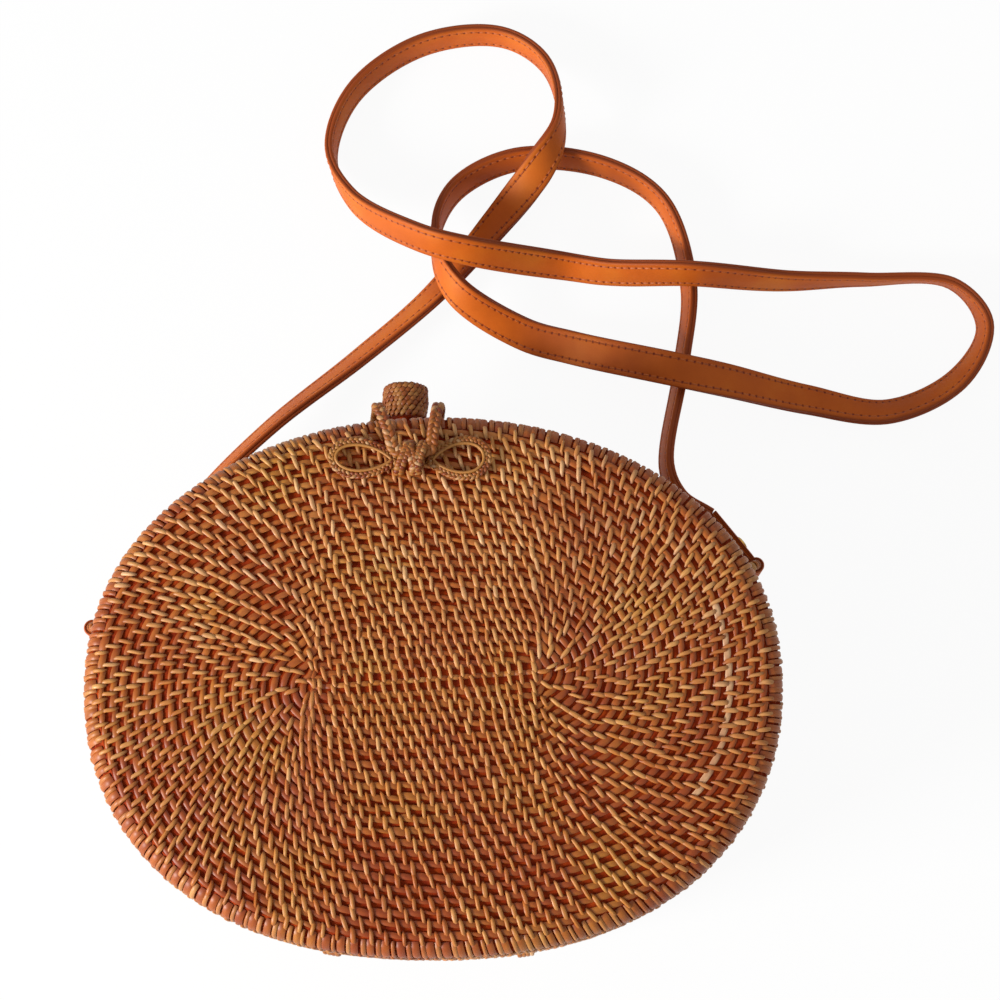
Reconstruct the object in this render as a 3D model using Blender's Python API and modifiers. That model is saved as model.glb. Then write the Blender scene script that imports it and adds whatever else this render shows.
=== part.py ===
"""Oval rattan bag with a hinged front half, a loop-and-knob closure and a long leather shoulder strap.

The bag lies on its back half. X runs along its length, Y from the hinge to the closure, Z upwards, in metres.
The origin is the middle of the underside.
"""
import math

import bmesh
import bpy
import numpy as np
from mathutils import Matrix, Vector

MM = 0.001

# Bag halves, two oval bowls that meet at a seam
LENGTH = 223.0 * MM
HEIGHT = 173.6 * MM
DEPTH = 75.0 * MM
OUTLINE_POWER = 2.163
WALL = 3.4 * MM
EDGE_RADIUS = 9.0 * MM
RIM_COIL_RADIUS = 1.8 * MM
SEAM_GAP = 0.8 * MM

# Coil of the weave on both panels, which starts on a line; each rib stands for nearly three of its rows
START_LINE_X = -2.3 * MM
START_LINE_HALF = 35.1 * MM
START_LINE_RISE = 4.6 * MM
PANEL_RIBS = 8
RIB_HEIGHT = 0.9 * MM

# Clearance between touching pieces, and how far a cut runs past what it cuts
GAP = 0.3 * MM
OVERRUN = 1.0 * MM

# Cotton lining
LINING_WALL = 0.9 * MM
LINING_BELOW_SEAM = 4.7 * MM

# Hinge lashings, wound round both rim coils
HINGE_OUTSIDE_COILS = 0.6 * MM
LASHING_RADIUS = 4.2 * MM
LASHING_THICKNESS = 1.2 * MM
LASHING_WIDTH = 5.3 * MM
LASHING_SPAN = 62.8 * MM
LASHING_SHIFT = -2.4 * MM

# Closure knob on its stem
KNOB_X = -11.1 * MM
KNOB_BELOW_SEAM = 9.5 * MM
KNOB_STANDOFF = 10.5 * MM
KNOB_RADIUS = 7.85 * MM
KNOB_BASE_RADIUS = 7.0 * MM
KNOB_TOP_RADIUS = 7.4 * MM
KNOB_LENGTH = 13.3 * MM
KNOB_DOME = 1.6 * MM
STEM_RADIUS = 2.5 * MM
STEM_DEPTH_IN_KNOB = 8.0 * MM
STOPPER_RADIUS = 5.0 * MM
STOPPER_THICKNESS = 1.5 * MM

# Closure loop, which swings on its own straight bar inside the bow's knot
LOOP_RADIUS = 2.1 * MM
LOOP_BAR_INSIDE_WALL = 14.8 * MM
LOOP_BAR_ABOVE_FRONT = 6.0 * MM
LOOP_BAR_HALF = 6.9 * MM
LOOP_BAR_X = -6.4 * MM
LOOP_SHOULDER_INSIDE_WALL = 7.8 * MM
LOOP_SHOULDER_ABOVE_FRONT = 7.3 * MM
LOOP_BEND_INSIDE_WALL = 0.4 * MM
LOOP_BEND_ABOVE_FRONT = 2.0 * MM
LOOP_HANG_OUTSIDE_WALL = 2.8 * MM
LOOP_HANG_BELOW_FRONT = 11.0 * MM
LOOP_HALF_AT_BEND = 8.9 * MM
LOOP_HALF_AT_KNOB = 10.8 * MM
LOOP_ABOVE_KNOB = 3.0 * MM
LOOP_FOOT_BELOW_KNOB = 19.3 * MM
LOOP_ROUNDING = 4.5 * MM
LOOP_BAR_ROUNDING = 2.2 * MM

# Bow tied at the top of the front panel
KNOT_X = -6.6 * MM
KNOT_INSIDE_WALL = 16.6 * MM
KNOT_HALF_X = 4.2 * MM
KNOT_HALF_Y = 6.2 * MM
KNOT_HEIGHT = 9.2 * MM
KNOT_WIDEST_ABOVE_FRONT = 4.0 * MM
BORE_CLEARANCE = 0.35 * MM
BOW_RADIUS = 1.6 * MM
BOW_CORD_RADIUS = 0.7 * MM
BOW_CORD_CLEARANCE = 0.5 * MM
BOW_CORD_FROM_TIP = 5.0 * MM
BOW_LEFT_LENGTH = 19.6 * MM
BOW_LEFT_WIDTH = 11.0 * MM
BOW_LEFT_TURN = 176.0
BOW_RIGHT_LENGTH = 18.0 * MM
BOW_RIGHT_WIDTH = 12.2 * MM
BOW_RIGHT_TURN = 3.0
TEARDROP_TAPER = 0.6
TEARDROP_FULL_SHARE = 1.13

# Rattan strap eyes on the back half
EYE_RADIUS = 1.6 * MM
EYE_REACH = 9.0 * MM
EYE_HEIGHT = 18.0 * MM
EYE_BELOW_SEAM = 15.5 * MM
EYE_ROUNDING = 4.0 * MM
EYE_LEFT_Y = 22.0 * MM
EYE_RIGHT_Y = 40.0 * MM

# Leather strap, its folded ends and their rivets
STRAP_WIDTH = 12.0 * MM
STRAP_THICKNESS = 2.8 * MM
STRAP_CHAMFER = 0.5 * MM
STRAP_SECTIONS = 80
END_HOLE_RADIUS = 1.9 * MM
END_RADIUS = 3.3 * MM
END_LENGTH = 23.3 * MM
END_LEFT_TURN = -110.9
END_RIGHT_TURN = 97.6
RIVET_FROM_EYE = 9.5 * MM
RIVET_SHANK_RADIUS = 1.0 * MM
RIVET_HEAD_RADIUS = 2.6 * MM
RIVET_HEAD_THICKNESS = 0.9 * MM
RIVET_EDGE = 0.3 * MM

# Mesh resolution
OVAL_POINTS = 56
EDGE_STEPS = 5
ROUND_STEPS = 24
SMALL_STEPS = 16
BEND_STEPS = 5
BOW_POINTS = 28
COIL_RESOLUTION = 2
CORD_RESOLUTION = 1
MERGE = 0.01 * MM

SEAM_Z = DEPTH / 2
CLOSURE_Y = HEIGHT / 2
KNOB_Z = SEAM_Z - KNOB_BELOW_SEAM
LOOP_BAR_Y = CLOSURE_Y - LOOP_BAR_INSIDE_WALL
LOOP_BAR_Z = DEPTH + LOOP_BAR_ABOVE_FRONT
LOOP_HANG_Y = CLOSURE_Y + LOOP_HANG_OUTSIDE_WALL
KNOT_Y = CLOSURE_Y - KNOT_INSIDE_WALL
EYE_Z = SEAM_Z - EYE_BELOW_SEAM
COIL_DROP = SEAM_GAP / 2 + RIM_COIL_RADIUS
SHELL_RIM_Z = SEAM_Z - SEAM_GAP / 2 - 2 * RIM_COIL_RADIUS - GAP
HINGE_Y = RIM_COIL_RADIUS - HEIGHT / 2 - HINGE_OUTSIDE_COILS
STEM_HOLE_RADIUS = STEM_RADIUS + GAP

# Middle of the strap from the left eye to the right one: x, y, z in millimetres and lean in degrees
STRAP_ROUTE = [
    (-83.5, 71.0, 20.6, -2),
    (-58.7, 97.9, 16.4, 0),
    (-29.0, 125.1, 7.6, 14),
    (-2.2, 149.4, 6.0, 34),
    (18.9, 174.8, 4.8, 81),
    (36.7, 194.2, 17.6, 61),
    (44.0, 209.5, 19.1, 15),
    (39.2, 237.9, 9.5, -1),
    (22.9, 250.0, 6.6, -5),
    (-6.4, 246.9, 6.5, -9),
    (-31.5, 228.2, 6.8, -10),
    (-39.9, 204.9, 6.7, -7),
    (-31.4, 183.8, 12.3, 9),
    (-7.4, 163.5, 28.9, 26),
    (9.5, 158.1, 29.7, 30),
    (46.3, 158.9, 8.7, 29),
    (61.8, 155.7, 11.3, 24),
    (89.7, 151.9, 20.6, 20),
    (125.0, 152.8, 8.9, 10),
    (154.1, 153.9, 6.4, -5),
    (186.6, 152.0, 6.7, -11),
    (197.3, 136.6, 6.4, 7),
    (186.8, 116.6, 6.0, 37),
    (161.2, 104.6, 5.2, 51),
    (132.4, 109.2, 5.1, 70),
    (102.1, 112.6, 18.9, 91),
    (81.2, 115.7, 24.5, 109),
    (47.8, 128.5, 7.6, 117),
    (30.1, 134.5, 5.9, 125),
    (6.0, 147.6, 17.7, 145),
    (-1.2, 167.2, 15.1, 178),
    (6.3, 189.6, 7.0, 195),
    (28.6, 201.2, 6.5, 195),
    (60.7, 198.0, 6.4, 190),
    (81.6, 183.9, 6.6, 188),
    (90.5, 153.2, 6.6, 193),
    (86.5, 119.2, 12.1, 194),
    (80.4, 81.4, 19.9, 190),
]
LEAN_AT_LEFT_EYE = 0.0
LEAN_AT_RIGHT_EYE = 180.0

RATTAN = ("rattan", (0.46, 0.2, 0.055), 0.5, 0.0)
BRAID = ("rattan_braid", (0.4, 0.17, 0.05), 0.55, 0.0)
COTTON = ("cotton_lining", (0.55, 0.46, 0.34), 0.9, 0.0)
LEATHER = ("strap_leather", (0.56, 0.16, 0.035), 0.45, 0.0)
BRASS = ("rivet_brass", (0.7, 0.52, 0.25), 0.3, 1.0)


def clear_scene():
    for obj in list(bpy.data.objects):
        bpy.data.objects.remove(obj)


def new_collection(name, for_cutters=False):
    collection = bpy.data.collections.new(name)
    collection.hide_render = for_cutters
    bpy.context.scene.collection.children.link(collection)
    return collection


def material_of(finish):
    """The finish's material, made at its first use."""
    name, colour, roughness, metallic = finish
    material = bpy.data.materials.get(name)
    if material is None:
        material = bpy.data.materials.new(name)
        material.use_nodes = True
        shader = material.node_tree.nodes["Principled BSDF"]
        shader.inputs["Base Color"].default_value = (*colour, 1.0)
        shader.inputs["Roughness"].default_value = roughness
        shader.inputs["Metallic"].default_value = metallic
    return material


def place(name, data, finish, matrix=Matrix.Identity(4)):
    """A visible piece with its finish."""
    obj = bpy.data.objects.new(name, data)
    obj.matrix_world = matrix
    data.materials.append(material_of(finish))
    bpy.data.collections["oval_rattan_bag"].objects.link(obj)
    return obj


def place_cutter(name, data, matrix=Matrix.Identity(4)):
    """A helper solid that only cuts."""
    obj = bpy.data.objects.new(name, data)
    obj.matrix_world = matrix
    obj.display_type = "WIRE"
    obj.hide_render = True
    bpy.data.collections["cutters"].objects.link(obj)
    return obj


def cut(obj, cutter):
    boolean = obj.modifiers.new(cutter.name, "BOOLEAN")
    boolean.operation = "DIFFERENCE"
    boolean.solver = "EXACT"
    boolean.object = cutter


# Solids from rings, turned profiles and curves
def loft(name, rings):
    """A closed mesh through rings of the same number of points, capped at both ends."""
    count = len(rings[0])
    faces = []
    for ring in range(len(rings) - 1):
        for i in range(count):
            j = (i + 1) % count
            low, high = ring * count, (ring + 1) * count
            faces.append((low + i, low + j, high + j, high + i))
    last = (len(rings) - 1) * count
    faces.append(tuple(reversed(range(count))))
    faces.append(tuple(range(last, last + count)))
    mesh = bpy.data.meshes.new(name)
    mesh.from_pydata([tuple(point) for ring in rings for point in ring], [], faces)
    shape = bmesh.new()
    shape.from_mesh(mesh)
    bmesh.ops.recalc_face_normals(shape, faces=shape.faces)
    shape.to_mesh(mesh)
    shape.free()
    shade_smooth(mesh)
    return mesh


def shade_smooth(mesh):
    mesh.shade_smooth()
    mesh.set_sharp_from_angle(angle=math.radians(40))


def turned(name, profile, steps, ring=False):
    """A mesh holding a profile of (radius, height) points and the Screw that turns it about Z."""
    count = len(profile)
    edges = [(i, i + 1) for i in range(count - 1)]
    if ring:
        edges.append((count - 1, 0))
    mesh = bpy.data.meshes.new(name)
    mesh.from_pydata([(radius, 0.0, height) for radius, height in profile], edges, [])

    def finish(obj):
        screw = obj.modifiers.new("Screw", "SCREW")
        screw.axis = "Z"
        screw.steps = screw.render_steps = steps
        screw.use_merge_vertices = True
        screw.merge_threshold = MERGE
        screw.use_smooth_shade = True
        return obj

    return mesh, finish


def tube(name, points, radius, closed=False, resolution=COIL_RESOLUTION):
    """A round tube along points, as a curve."""
    curve = bpy.data.curves.new(name, "CURVE")
    curve.dimensions = "3D"
    curve.bevel_depth = radius
    curve.bevel_resolution = resolution
    curve.use_fill_caps = True
    spline = curve.splines.new("POLY")
    spline.points.add(len(points) - 1)
    for target, point in zip(spline.points, points):
        target.co = (*point, 1.0)
    spline.use_cyclic_u = closed
    spline.use_smooth = True
    return curve


def curve_to_mesh(obj, finish):
    """The same piece as a mesh, so that it can be cut."""
    graph = bpy.context.evaluated_depsgraph_get()
    mesh = bpy.data.meshes.new_from_object(obj.evaluated_get(graph))
    shape = bmesh.new()
    shape.from_mesh(mesh)
    bmesh.ops.remove_doubles(shape, verts=shape.verts, dist=MERGE)
    bmesh.ops.recalc_face_normals(shape, faces=shape.faces)
    shape.to_mesh(mesh)
    shape.free()
    shade_smooth(mesh)
    mesh.materials.clear()
    name, matrix = obj.name, obj.matrix_world.copy()
    bpy.data.objects.remove(obj)
    return place(name, mesh, finish, matrix)


def rounded_path(corners, closed=False):
    """Points along straight runs whose corners, given as (point, reach), are eased over that reach."""
    points = []
    count = len(corners)
    for i, (corner, reach) in enumerate(corners):
        corner = Vector(corner)
        if reach == 0 or (not closed and i in (0, count - 1)):
            points.append(corner)
            continue
        before = Vector(corners[i - 1][0]) - corner
        after = Vector(corners[(i + 1) % count][0]) - corner
        start = corner + before.normalized() * reach
        end = corner + after.normalized() * reach
        for step in range(BEND_STEPS + 1):
            part = step / BEND_STEPS
            points.append(start.lerp(corner, part).lerp(corner.lerp(end, part), part))
    return points


# The bag's outline
def outline_point(turn, inset):
    """A point of the oval, drawn in by inset, at a turn counted from +X."""
    across, along = math.cos(turn), math.sin(turn)
    x = math.copysign(abs(across) ** (2 / OUTLINE_POWER), across) * (LENGTH / 2 - inset)
    y = math.copysign(abs(along) ** (2 / OUTLINE_POWER), along) * (HEIGHT / 2 - inset)
    return x, y


def oval_ring(inset, z):
    turns = [2 * math.pi * i / OVAL_POINTS for i in range(OVAL_POINTS)]
    return [(*outline_point(turn, inset), z) for turn in turns]


def wall_at(y, side):
    """The outer wall's point at height y on the left or right side, with its outward normal."""
    half_length, half_height = LENGTH / 2, HEIGHT / 2
    share = (1 - (abs(y) / half_height) ** OUTLINE_POWER) ** (1 / OUTLINE_POWER)
    slope = OUTLINE_POWER - 1
    normal = Vector((side * share**slope / half_length, (y / half_height) ** slope / half_height, 0))
    return Vector((side * half_length * share, y, 0)), normal.normalized()


def wall_y_at(x):
    """How far the outer wall lies from the middle at x, on the closure side."""
    share = (1 - (abs(x) / (LENGTH / 2)) ** OUTLINE_POWER) ** (1 / OUTLINE_POWER)
    return HEIGHT / 2 * share


def coil_ring(share, z):
    """A row of the coil, a share of the way from its start line to the panel's edge."""
    ring = []
    for x, y, _ in oval_ring(EDGE_RADIUS, z):
        start_x = min(max(x, START_LINE_X - START_LINE_HALF), START_LINE_X + START_LINE_HALF)
        start_y = START_LINE_RISE * (start_x - START_LINE_X) / (2 * START_LINE_HALF)
        ring.append((start_x + share * (x - start_x), start_y + share * (y - start_y), z))
    return ring


def panel_ribs():
    """Rings of the panel from its middle outwards, in turn on a rib and in the groove beside it."""
    steps = range(2, 2 * PANEL_RIBS)
    return [coil_ring(step / (2 * PANEL_RIBS), RIB_HEIGHT * (step % 2)) for step in steps]


def bowl(name, inset, floor, rim, wall, front, ribbed=False):
    """An open oval bowl with a rounded edge; the front one is turned over onto the seam."""
    radius = EDGE_RADIUS - inset
    turns = [math.pi / 2 * step / EDGE_STEPS for step in range(EDGE_STEPS + 1)]
    centre_inset, centre_z = inset + radius, floor + radius

    def edge(bend):
        return [(centre_inset - bend * math.sin(a), centre_z - bend * math.cos(a)) for a in turns]

    outer = edge(radius) + [(inset, rim)]
    inner = edge(radius - wall) + [(inset + wall, rim)]
    rings = [oval_ring(at, z) for at, z in outer + inner[::-1]]
    if ribbed:
        rings = panel_ribs() + rings
    if front:
        rings = [[(x, y, DEPTH - z) for x, y, z in ring] for ring in rings]
    return loft(name, rings)


def hinge_slots():
    """Rings that leave room for the lashings, one for each."""
    low = LASHING_RADIUS - LASHING_THICKNESS / 2 - GAP
    high = LASHING_RADIUS + LASHING_THICKNESS / 2 + GAP
    half = LASHING_WIDTH / 2 + GAP
    profile = [(high, half), (high, -half), (low, -half), (low, half)]
    slots = []
    for side, x in lashing_places():
        mesh, finish = turned(f"slot_{side}", profile, ROUND_STEPS, ring=True)
        slots.append(finish(place_cutter(f"slot_{side}", mesh, along_x(x))))
    return slots


def lashing_places():
    return [
        ("left", LASHING_SHIFT - LASHING_SPAN / 2),
        ("right", LASHING_SHIFT + LASHING_SPAN / 2),
    ]


def along_x(x):
    """A matrix that lays a turned piece on the hinge axis at x."""
    return Matrix.Translation((x, HINGE_Y, SEAM_Z)) @ Matrix.Rotation(math.pi / 2, 4, "Y")


def stem_frame(y):
    """A matrix that points a turned piece's Z outwards along the knob's axis, from y."""
    turn = Matrix.Rotation(-math.pi / 2, 4, "X")
    return Matrix.Translation((KNOB_X, y, KNOB_Z)) @ turn


# Pieces
def make_halves(slots):
    """Both woven halves, their rim coils and their linings."""
    stem_hole = make_stem_hole()
    for half, front in (("back", False), ("front", True)):
        shell_mesh = bowl(f"{half}_shell", 0.0, 0.0, SHELL_RIM_Z, WALL, front, ribbed=True)
        shell = place(f"{half}_shell", shell_mesh, RATTAN)
        coil_z = SEAM_Z + (COIL_DROP if front else -COIL_DROP)
        ring = oval_ring(RIM_COIL_RADIUS, coil_z)
        coil_curve = tube(f"{half}_rim_coil", ring, RIM_COIL_RADIUS, closed=True)
        coil = curve_to_mesh(place(f"{half}_rim_coil", coil_curve, RATTAN), RATTAN)
        for slot in slots:
            cut(shell, slot)
            cut(coil, slot)
        inset = WALL + GAP
        rim = SEAM_Z - LINING_BELOW_SEAM
        lining_mesh = bowl(f"{half}_lining", inset, inset, rim, LINING_WALL, front)
        lining = place(f"{half}_lining", lining_mesh, COTTON)
        if not front:
            cut(shell, stem_hole)
            cut(lining, stem_hole)


def make_stem_hole():
    inside = CLOSURE_Y - WALL - GAP - LINING_WALL - OVERRUN - GAP
    length = CLOSURE_Y + OVERRUN - inside
    profile = [(0.0, length), (STEM_HOLE_RADIUS, length), (STEM_HOLE_RADIUS, 0.0), (0.0, 0.0)]
    mesh, finish = turned("stem_hole", profile, ROUND_STEPS)
    return finish(place_cutter("stem_hole", mesh, stem_frame(inside)))


def make_lashings():
    """Wound rings that tie the two rim coils together and let them hinge."""
    low = LASHING_RADIUS - LASHING_THICKNESS / 2
    high = LASHING_RADIUS + LASHING_THICKNESS / 2
    half = LASHING_WIDTH / 2
    shoulder = half - LASHING_THICKNESS / 2
    profile = [
        (LASHING_RADIUS, half),
        (high, shoulder),
        (high, -shoulder),
        (LASHING_RADIUS, -half),
        (low, -shoulder),
        (low, shoulder),
    ]
    for side, x in lashing_places():
        mesh, finish = turned(f"hinge_lashing_{side}", profile, ROUND_STEPS, ring=True)
        finish(place(f"hinge_lashing_{side}", mesh, BRAID, along_x(x)))


def make_knob():
    """A woven barrel with a blind bore, on a stem that a disc holds inside the lining."""
    base_y = wall_y_at(KNOB_X) + KNOB_STANDOFF
    bore = STEM_DEPTH_IN_KNOB + GAP
    shoulder = KNOB_LENGTH - KNOB_DOME
    profile = [
        (0.0, KNOB_LENGTH),
        (KNOB_TOP_RADIUS / 2, KNOB_LENGTH - KNOB_DOME / 4),
        (KNOB_TOP_RADIUS - KNOB_DOME / 3, shoulder + KNOB_DOME / 3),
        (KNOB_TOP_RADIUS, shoulder),
        (KNOB_RADIUS, KNOB_LENGTH / 2),
        (KNOB_BASE_RADIUS, 0.0),
        (STEM_HOLE_RADIUS, 0.0),
        (STEM_HOLE_RADIUS, bore),
        (0.0, bore),
    ]
    mesh, finish = turned("closure_knob", profile, ROUND_STEPS)
    finish(place("closure_knob", mesh, BRAID, stem_frame(base_y)))

    lining_inside = wall_y_at(KNOB_X) - WALL - GAP - LINING_WALL
    stopper_y = lining_inside - OVERRUN - STOPPER_THICKNESS
    length = base_y + STEM_DEPTH_IN_KNOB - stopper_y
    stem = [
        (0.0, length),
        (STEM_RADIUS, length),
        (STEM_RADIUS, STOPPER_THICKNESS),
        (STOPPER_RADIUS, STOPPER_THICKNESS),
        (STOPPER_RADIUS, 0.0),
        (0.0, 0.0),
    ]
    mesh, finish = turned("knob_stem", stem, ROUND_STEPS)
    finish(place("knob_stem", mesh, BRAID, stem_frame(stopper_y)))


def make_closure_loop():
    """A closed braid: a straight bar in the knot, two legs over the edge and a round foot under the stem."""
    knob_z = KNOB_Z + LOOP_ABOVE_KNOB
    corners = []
    for side in (-1, 1):
        bar_end = (LOOP_BAR_X + side * LOOP_BAR_HALF, LOOP_BAR_Y, LOOP_BAR_Z)
        shoulder_x = LOOP_BAR_X + side * (LOOP_BAR_HALF + LOOP_HALF_AT_BEND) / 2
        shoulder_y = CLOSURE_Y - LOOP_SHOULDER_INSIDE_WALL
        shoulder = (shoulder_x, shoulder_y, DEPTH + LOOP_SHOULDER_ABOVE_FRONT)
        bend_x = LOOP_BAR_X + side * LOOP_HALF_AT_BEND
        bend = (bend_x, CLOSURE_Y - LOOP_BEND_INSIDE_WALL, DEPTH + LOOP_BEND_ABOVE_FRONT)
        hang = (bend_x, LOOP_HANG_Y, DEPTH - LOOP_HANG_BELOW_FRONT)
        knob_x = KNOB_X + side * LOOP_HALF_AT_KNOB
        knob_side = (knob_x, LOOP_HANG_Y, knob_z)
        foot = (knob_x, LOOP_HANG_Y, KNOB_Z - LOOP_FOOT_BELOW_KNOB)
        leg = [
            (bar_end, LOOP_BAR_ROUNDING),
            (shoulder, LOOP_BAR_ROUNDING),
            (bend, LOOP_ROUNDING),
            (hang, LOOP_ROUNDING),
            (knob_side, LOOP_ROUNDING),
            (foot, LOOP_HALF_AT_KNOB),
        ]
        corners += leg if side < 0 else leg[::-1]
    points = rounded_path(corners, closed=True)
    points = [p for i, p in enumerate(points) if (p - points[i - 1]).length > MERGE]
    place("closure_loop", tube("closure_loop", points, LOOP_RADIUS, closed=True), BRAID)


def make_knot():
    """The bow's knot: a pebble with a flat foot and a bore for the closure loop's bar."""
    foot = DEPTH + GAP
    widest = DEPTH + KNOT_WIDEST_ABOVE_FRONT
    reach = foot + KNOT_HEIGHT - widest
    shape = bmesh.new()
    bmesh.ops.create_uvsphere(shape, u_segments=ROUND_STEPS, v_segments=SMALL_STEPS, radius=1.0)
    for vertex in shape.verts:
        x, y, z = vertex.co
        height = max(widest + z * reach, foot)
        vertex.co = (KNOT_X + x * KNOT_HALF_X, KNOT_Y + y * KNOT_HALF_Y, height)
    mesh = bpy.data.meshes.new("bow_knot")
    shape.to_mesh(mesh)
    shape.free()
    shade_smooth(mesh)
    knot = place("bow_knot", mesh, BRAID)

    radius = LOOP_RADIUS + BORE_CLEARANCE
    half = KNOT_HALF_X + OVERRUN
    profile = [(0.0, half), (radius, half), (radius, -half), (0.0, -half)]
    mesh, finish = turned("knot_bore", profile, ROUND_STEPS)
    centre = Matrix.Translation((KNOT_X, LOOP_BAR_Y, LOOP_BAR_Z))
    bore = finish(place_cutter("knot_bore", mesh, centre @ Matrix.Rotation(math.pi / 2, 4, "Y")))
    cut(knot, bore)


def teardrop(length, width, start):
    """A flat closed loop along X whose narrow end is at start."""
    points = []
    for i in range(BOW_POINTS):
        turn = 2 * math.pi * (i + 0.5) / BOW_POINTS
        x = start + length / 2 * (1 - math.cos(turn))
        swell = math.sin(turn) * math.sin(turn / 2) ** TEARDROP_TAPER
        points.append(Vector((x, width / 2 * TEARDROP_FULL_SHARE * swell, 0)))
    return points


def make_bow():
    """Two teardrop loops beside the knot, each with a thin cord lying inside it."""
    bows = (
        ("left", -1, BOW_LEFT_LENGTH, BOW_LEFT_WIDTH, BOW_LEFT_TURN),
        ("right", 1, BOW_RIGHT_LENGTH, BOW_RIGHT_WIDTH, BOW_RIGHT_TURN),
    )
    side_inset = BOW_RADIUS + BOW_CORD_RADIUS + BOW_CORD_CLEARANCE
    for side, sign, length, width, degrees in bows:
        tip_x = KNOT_X + sign * (KNOT_HALF_X + GAP + BOW_RADIUS)
        tip = Matrix.Translation((tip_x, KNOT_Y, 0)) @ Matrix.Rotation(math.radians(degrees), 4, "Z")
        cord_length = length - BOW_CORD_FROM_TIP - side_inset
        for kind, outline, radius, steps in (
            ("loop", teardrop(length, width, 0.0), BOW_RADIUS, COIL_RESOLUTION),
            (
                "cord",
                teardrop(cord_length, width - 2 * side_inset, BOW_CORD_FROM_TIP),
                BOW_CORD_RADIUS,
                CORD_RESOLUTION,
            ),
        ):
            lift = Vector((0, 0, DEPTH + GAP + radius))
            points = [tip @ point + lift for point in outline]
            name = f"bow_{kind}_{side}"
            place(name, tube(name, points, radius, closed=True, resolution=steps), BRAID)


def eye_places():
    """Each strap eye's side, foot on the wall, outward normal and the middle of its bar."""
    for side, sign, y in (("left", -1, EYE_LEFT_Y), ("right", 1, EYE_RIGHT_Y)):
        foot, normal = wall_at(y, sign)
        yield side, foot, normal, foot + normal * EYE_REACH + Vector((0, 0, EYE_Z))


def make_strap_eyes():
    """Staples of cane standing off the back half's wall."""
    for side, foot, normal, bar in eye_places():
        start = foot + normal * GAP
        out = foot + normal * EYE_REACH
        low = Vector((0, 0, EYE_Z - EYE_HEIGHT / 2))
        high = Vector((0, 0, EYE_Z + EYE_HEIGHT / 2))
        corners = [
            (start + low, 0.0),
            (out + low, EYE_ROUNDING),
            (out + high, EYE_ROUNDING),
            (start + high, 0.0),
        ]
        points = rounded_path(corners)
        place(f"strap_eye_{side}", tube(f"strap_eye_{side}", points, EYE_RADIUS), BRAID)


def end_frames():
    """For each eye, the matrix whose origin is the bar's middle and whose X points along the strap."""
    frames = {}
    for (side, _, normal, bar), degrees in zip(eye_places(), (END_LEFT_TURN, END_RIGHT_TURN)):
        heading = math.atan2(normal.y, normal.x) + math.radians(degrees)
        frames[side] = Matrix.Translation(bar) @ Matrix.Rotation(heading, 4, "Z")
    return frames


def make_strap_ends():
    """Leather folded round each eye's bar, shut by a rivet."""
    half = STRAP_THICKNESS / 2
    opening = math.asin(half / END_RADIUS)
    for side, frame in end_frames().items():
        curve = bpy.data.curves.new(f"strap_end_{side}", "CURVE")
        curve.dimensions = "2D"
        curve.fill_mode = "BOTH"
        curve.extrude = STRAP_WIDTH / 2
        turns = np.linspace(opening, 2 * math.pi - opening, SMALL_STEPS)
        outer = [(END_RADIUS * math.cos(a), END_RADIUS * math.sin(a)) for a in turns]
        outer += [(END_LENGTH, -half), (END_LENGTH, half)]
        turns = [2 * math.pi * i / SMALL_STEPS for i in range(SMALL_STEPS)]
        hole = [(END_HOLE_RADIUS * math.cos(a), END_HOLE_RADIUS * math.sin(a)) for a in turns]
        for outline in (outer, hole):
            spline = curve.splines.new("POLY")
            spline.points.add(len(outline) - 1)
            for target, (x, y) in zip(spline.points, outline):
                target.co = (x, y, 0, 1)
            spline.use_cyclic_u = True
        end = curve_to_mesh(place(f"strap_end_{side}", curve, LEATHER, frame), LEATHER)

        rivet_frame = frame @ Matrix.Translation((RIVET_FROM_EYE, 0, 0)) @ Matrix.Rotation(math.pi / 2, 4, "X")
        radius = RIVET_SHANK_RADIUS + GAP
        reach = half + OVERRUN
        profile = [(0.0, reach), (radius, reach), (radius, -reach), (0.0, -reach)]
        mesh, finish = turned(f"rivet_hole_{side}", profile, SMALL_STEPS)
        cut(end, finish(place_cutter(f"rivet_hole_{side}", mesh, rivet_frame)))

        seat = half + GAP
        face = seat + RIVET_HEAD_THICKNESS
        upper = [
            (0.0, face),
            (RIVET_HEAD_RADIUS - RIVET_EDGE, face),
            (RIVET_HEAD_RADIUS, face - RIVET_EDGE),
            (RIVET_HEAD_RADIUS, seat),
            (RIVET_SHANK_RADIUS, seat),
        ]
        profile = upper + [(radius, -height) for radius, height in reversed(upper)]
        mesh, finish = turned(f"strap_rivet_{side}", profile, SMALL_STEPS)
        finish(place(f"strap_rivet_{side}", mesh, BRASS, rivet_frame))


# Shoulder strap
def smooth_route(points, count):
    """Rows read from one smooth curve through points; each row is x, y, z and lean."""
    steps = np.linalg.norm(np.diff(points[:, :3], axis=0), axis=1) ** 0.5
    knots = np.concatenate([[0], np.cumsum(steps)])
    at = np.linspace(0, knots[-1], count)
    slopes = np.gradient(points, knots, axis=0)
    i = np.clip(np.searchsorted(knots, at, side="right") - 1, 0, len(points) - 2)
    span = (knots[i + 1] - knots[i])[:, None]
    part = (at - knots[i])[:, None] / span
    start = points[i] * (1 + 2 * part) * (1 - part) ** 2
    leave = slopes[i] * span * part * (1 - part) ** 2
    end = points[i + 1] * part**2 * (3 - 2 * part)
    arrive = slopes[i + 1] * span * part**2 * (part - 1)
    return start + leave + end + arrive


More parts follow.
